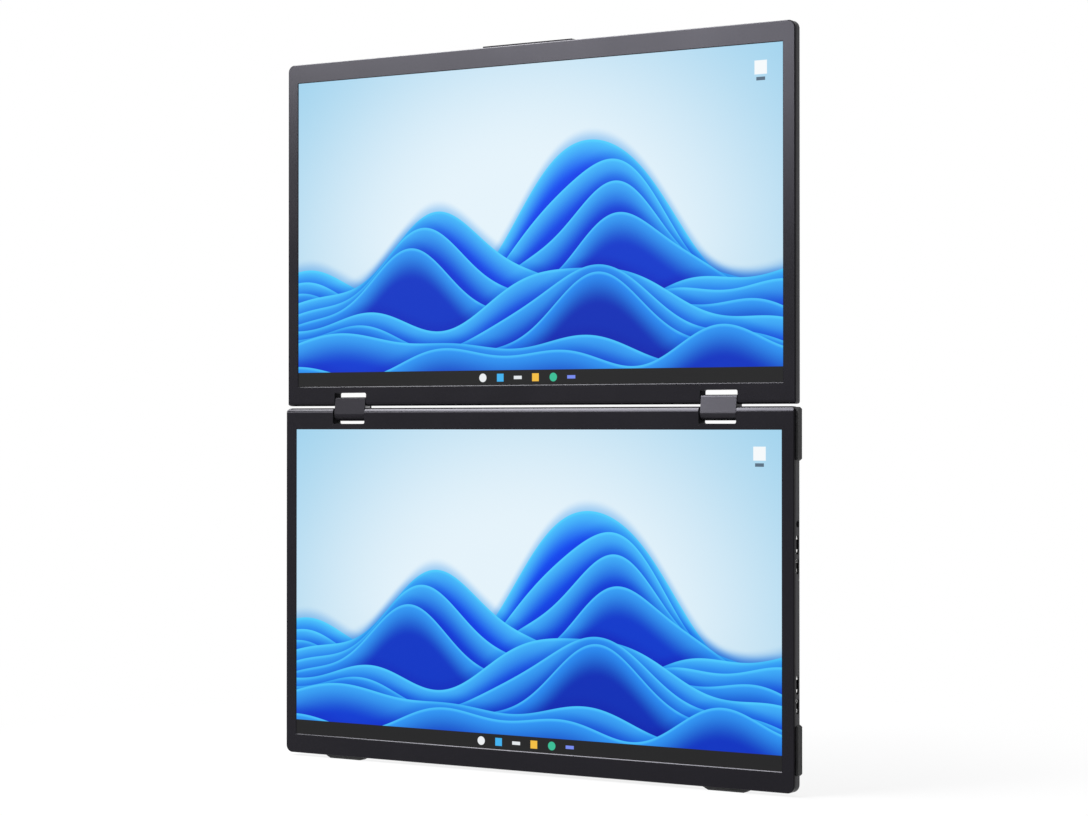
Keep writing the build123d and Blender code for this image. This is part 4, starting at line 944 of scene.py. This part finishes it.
# %% Set the contacts
TONGUE = 0.7 * MM               # thickness of a socket's tongue
BAR_SHARE = 0.5                 # of the pitch that a contact is wide
BAR_THICK = 0.1 * MM
PICTURE_HALF = 5.6 * MM         # half the height of a picture socket
POWER_HALF = 4.47 * MM          # and of a power socket


def tongue_faces(node, half_height, tip_in, long):
    """Middle of each contact row: two sockets in the node, a row on each side of both tongues."""
    x = high(node).x - tip_in - long / 2
    y = middle(node).y
    heights = (high(node).z - half_height, low(node).z + half_height)
    return [(x, y + side * TONGUE / 2, z) for z in heights for side in (-1, 1)]


# Name, sockets, half height, how far the tip lies in, then count, pitch and length of the contacts
for name, node, half_height, tip_in, count, pitch, long in (
    ("picture_socket_contacts", "mini_hdmi_sockets", PICTURE_HALF, 1.8 * MM, 10, 0.7 * MM, 3.4 * MM),
    ("power_socket_contacts", "usb_c_sockets", POWER_HALF, 1.3 * MM, 12, 0.5 * MM, 3.6 * MM),
):
    contacts = grow(name, contact_tree, tongue_faces(node, half_height, tip_in, long), Count=count,
                    Pitch=pitch, Long=long, Wide=pitch * BAR_SHARE, Thick=BAR_THICK)
    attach(contacts, "lower_unit")

# %% [markdown]
# ## Ink for the printed signs
#
# Small pale signs are printed on the right wall, in front of the sockets. Printing ink is matt and covers
# a little unevenly, which a very fine noise shows in its colour, gloss and height.

# %% Sign ink
PRINT_FILM = 0.03 * MM          # thickness of the ink
INK_GRAIN, INK_DEPTH = 0.25 * MM, 0.004 * MM
INK_THIN = 0.86                 # share of its paleness that thin ink keeps


def printed(name, colour):
    """Matt ink with a slightly uneven cover."""
    material, tree, surface = start_finish(name)
    cover = noise(tree, own_place(tree), INK_GRAIN, 3.0)
    tone = mixed(tree, cover.spread(), scaled(colour, INK_THIN), colour)
    feed(tree, surface, Base_Color=tone, Roughness=cover.spread(0.5, 0.62))
    bump(tree, surface, cover, INK_DEPTH)
    return material


sign_ink = printed("sign_ink", linear(244, 244, 242))
print("ink:", sign_ink.name)

# %% [markdown]
# ## The group of signs
#
# Two triangles lie beside each picture socket, one up and one down, and a ring and a bar beside each power
# socket. A print is a very thin raised film, so each sign is a thin closed shape. The same group comes
# twice on the wall, so one tree makes it and sets it on two points.

# %% The sign tree
TRIANGLE_HEIGHT = 1.5           # a three-sided prism's height, in radii
TRIANGLE_SIDE = 1.732           # and its side

sign_tree, points, size = start_tree(
    "wall_signs", "Tall", "Wide", "Film", "Apart", "Ring Drop", "Bar Drop", "Line")


def placed(shape, up, turn=0.0):
    """A sign moved up the wall and turned about the y axis by some degrees."""
    return made(sign_tree, "GeometryNodeTransform", Geometry=shape, Translation=vector(sign_tree, Z=up),
                Rotation=(0, math.radians(turn), 0))


prism = made(sign_tree, "GeometryNodeMeshCylinder", Vertices=3, Radius=size["Tall"], Depth=size["Film"])
prism_scale = vector(sign_tree, X=1 / TRIANGLE_HEIGHT, Y=size["Wide"] / (size["Tall"] * TRIANGLE_SIDE),
                     Z=1.0)
triangle = made(sign_tree, "GeometryNodeTransform", Geometry=prism, Scale=prism_scale)
ring_line = made(sign_tree, "GeometryNodeCurvePrimitiveCircle", Resolution=28, Radius=size["Wide"] * 0.5)
ring_section = made(sign_tree, "GeometryNodeCurvePrimitiveQuadrilateral", Width=size["Line"],
                    Height=size["Film"])
ring = made(sign_tree, "GeometryNodeCurveToMesh", Curve=ring_line, Profile_Curve=ring_section)
bar_size = vector(sign_tree, X=size["Film"], Y=size["Line"] * 3, Z=size["Tall"] * 0.9)
bar = made(sign_tree, "GeometryNodeMeshCube", Size=bar_size)
group = joined(sign_tree, placed(triangle, size["Apart"] * 0.5, -90),
               placed(triangle, size["Apart"] * -0.5, 90), placed(ring, size["Ring Drop"] * -1, 90),
               placed(bar, size["Bar Drop"] * -1))
finish_tree(sign_tree, copied(sign_tree, group, points), sign_ink)
print(f"{len(sign_tree.nodes)} nodes make a group of signs")

# %% [markdown]
# ## Setting the signs
#
# The film lies on the wall with half its thickness to either side of its middle, so the points stand half
# a film outside the wall. Each group is level with a picture socket.

# %% Set the signs
SIGNS_IN = 1.4 * MM             # from the shell's front edge to the signs
SIGNS_UP = 0.5 * MM             # from the middle of a picture socket

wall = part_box("lower_rear_cover")
sign_at = (wall[1].x + PRINT_FILM / 2, wall[0].y + SIGNS_IN)
picture_sockets = (high("mini_hdmi_sockets").z - PICTURE_HALF, low("mini_hdmi_sockets").z + PICTURE_HALF)
wall_signs = grow("wall_signs", sign_tree, [(*sign_at, z + SIGNS_UP) for z in picture_sockets],
                  Tall=2.1 * MM, Wide=1.8 * MM, Film=PRINT_FILM, Apart=7.0 * MM, Line=0.14 * MM,
                  Ring_Drop=9.5 * MM, Bar_Drop=14.8 * MM)
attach(wall_signs, "lower_unit")

# %% [markdown]
# ## Fine mesh behind the speaker slots
#
# A black mesh keeps dust out of each speaker. It is two rows of thin crossed wires, so the tree sets long
# thin bars on two lines of points.

# %% Speaker meshes
CLOTH_IN = 0.8 * MM             # from the back face to the mesh

mesh_tree, points, size = start_tree("speaker_meshes", "Width", "Height", "Pitch", "Wire")
span = {"X": size["Width"], "Z": size["Height"]}


def wire_row(along, across):
    """Parallel wires that lie along one direction and are spread along the other."""
    count = (span[across] / size["Pitch"]).math("FLOOR") + 1
    begin = vector(mesh_tree, **{across: span[across] * -0.5})
    step = vector(mesh_tree, **{across: size["Pitch"]})
    line = made(mesh_tree, "GeometryNodeMeshLine", {"mode": "OFFSET"}, Count=count, Start_Location=begin,
                Offset=step)
    wire_size = vector(mesh_tree, Y=size["Wire"], **{along: span[along], across: size["Wire"]})
    wire = made(mesh_tree, "GeometryNodeMeshCube", Size=wire_size)
    return copied(mesh_tree, wire, line)


cloth = joined(mesh_tree, wire_row("X", "Z"), wire_row("Z", "X"))
finish_tree(mesh_tree, copied(mesh_tree, cloth, points), black_steel)
cloth_places = [(middle(f"speaker_{side}").x, high("lower_rear_cover").y - CLOTH_IN,
                 middle(f"speaker_{side}").z) for side in ("left", "right")]
speaker_meshes = grow("speaker_meshes", mesh_tree, cloth_places, Width=27 * MM, Height=8.6 * MM,
                      Pitch=0.55 * MM, Wire=0.16 * MM)
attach(speaker_meshes, "lower_unit")

# %% [markdown]
# ## Floor and backdrop
#
# Catalogue pictures stand the object on a white sweep. The floor here is plain white, and it shows as full
# white to the camera and in reflections, whatever light falls on it. Near the object it keeps part of its
# shading, so that the feet still touch down on a soft shadow.

# %% A white that glows
SHADED_SHARE = 0.15             # of the floor's white that light and shadow may change
SHADED_NEAR = 0.2               # metres from the middle of the object, with the full share inside
SHADED_FAR = 0.45               # and with none outside
MATT_GREY = (0.5, 0.5, 0.505, 1)


def blended(tree, share, first, second):
    """Mixes two shaders by a share."""
    node = put(tree, "ShaderNodeMixShader", Fac=share)
    plug(tree, first, node.inputs[1])
    plug(tree, second, node.inputs[2])
    return node.outputs[0]


def stage_white(name):
    """White that glows to the eye, with a share near the object left to light and shadow."""
    material = bpy.data.materials.new(name)
    tree = cleared_tree(material)
    across, along, _ = parts_of(tree, own_place(tree))
    away = (across * across + along * along).math("SQRT")
    share = away.ramp(SHADED_NEAR, SHADED_FAR, SHADED_SHARE, 0.0)
    rays = put(tree, "ShaderNodeLightPath").outputs
    seen = Varying(tree, rays["Is Camera Ray"]).math("MAXIMUM", rays["Is Glossy Ray"])
    seen = seen.math("MAXIMUM", rays["Is Transmission Ray"])
    matt = made(tree, "ShaderNodeBsdfDiffuse", Color=MATT_GREY)
    glow = made(tree, "ShaderNodeEmission", Strength=1.0)
    near = blended(tree, share, glow, matt)
    put(tree, "ShaderNodeOutputMaterial", Surface=blended(tree, seen, matt, near))
    return material


floor_white = stage_white("floor_white")
print("floor finish:", floor_white.name)

# %% [markdown]
# ## The floor
#
# One large flat sheet is enough: the world behind it is the same white, so no edge shows.

# %% Stage
FLOOR_REACH = 6.0

floor_mesh = bpy.data.meshes.new("floor")
floor_mesh.from_pydata([
    (-FLOOR_REACH, -FLOOR_REACH, 0), (FLOOR_REACH, -FLOOR_REACH, 0), (FLOOR_REACH, FLOOR_REACH, 0),
    (-FLOOR_REACH, FLOOR_REACH, 0),
], [], [(0, 1, 2, 3)])
floor_mesh.materials.append(floor_white)
floor = bpy.data.objects.new("floor", floor_mesh)
scene.collection.objects.link(floor)
print("floor", FLOOR_REACH * 2, "m wide")

# %% [markdown]
# ## Light
#
# Dark satin plastic shows mostly what it mirrors. A low wide lamp on the left, in front, lies over the
# frames as a sheen that fades downwards, and shows in the slanted faces of the hinge covers. A long strip
# lamp high up draws the pale lines along the upper edges. A weak lamp on the right opens the socket wall.

# %% Lamps


def soft_lamp(name, at, towards, width, height, strength, roll):
    """A rectangular soft lamp, rolled by some degrees. Its strength is its face's light, where 1 is white."""
    data = bpy.data.lights.new(name, "AREA")
    data.shape = "RECTANGLE"
    data.size = width
    data.size_y = height
    data.energy = strength * math.pi * width * height
    lamp = bpy.data.objects.new(name, data)
    lamp.location = at
    aimed = (Vector(towards) - Vector(at)).to_track_quat("-Z", "Y").to_matrix().to_4x4()
    lamp.rotation_euler = (aimed @ Matrix.Rotation(math.radians(roll), 4, "Z")).to_euler()
    scene.collection.objects.link(lamp)


# Name, place, the point it is aimed at, width, height, strength and roll
for lamp_row in (
    ("key_lamp", (-1.86, -2.75, 1.08), (-0.71, 0, 0.71), 1.62, 0.52, 16.0, -7.0),
    ("top_lamp", (-1.45, -0.96, 2.42), (0, -0.05, 0.22), 0.9, 4.3, 27.0, 55.0),
    ("side_lamp", (2.6, -0.9, 0.7), (0.18, 0, 0.15), 1.5, 1.2, 2.5, 0.0),
):
    soft_lamp(*lamp_row)

# %% [markdown]
# ## The white surroundings
#
# The world is full white to the camera and through clear parts, a little less in reflections, and much
# dimmer as a light, so that it fills the shadows without washing out the dark plastic.

# %% Surroundings
MIRRORED_SHARE = 0.85           # how much of the step from dim to white reflections show
FILL_LIGHT = 0.3

world = bpy.data.worlds.new("surroundings")
world_tree = cleared_tree(world)
rays = put(world_tree, "ShaderNodeLightPath").outputs
seen = Varying(world_tree, rays["Is Glossy Ray"]) * MIRRORED_SHARE
for kind in ("Is Camera Ray", "Is Transmission Ray"):
    seen = seen.math("MAXIMUM", rays[kind])
white = made(world_tree, "ShaderNodeBackground", Color=(1, 1, 1, 1),
             Strength=seen * (1 - FILL_LIGHT) + FILL_LIGHT)
put(world_tree, "ShaderNodeOutputWorld", Surface=white)
scene.world = world
print("surroundings:", world.name)
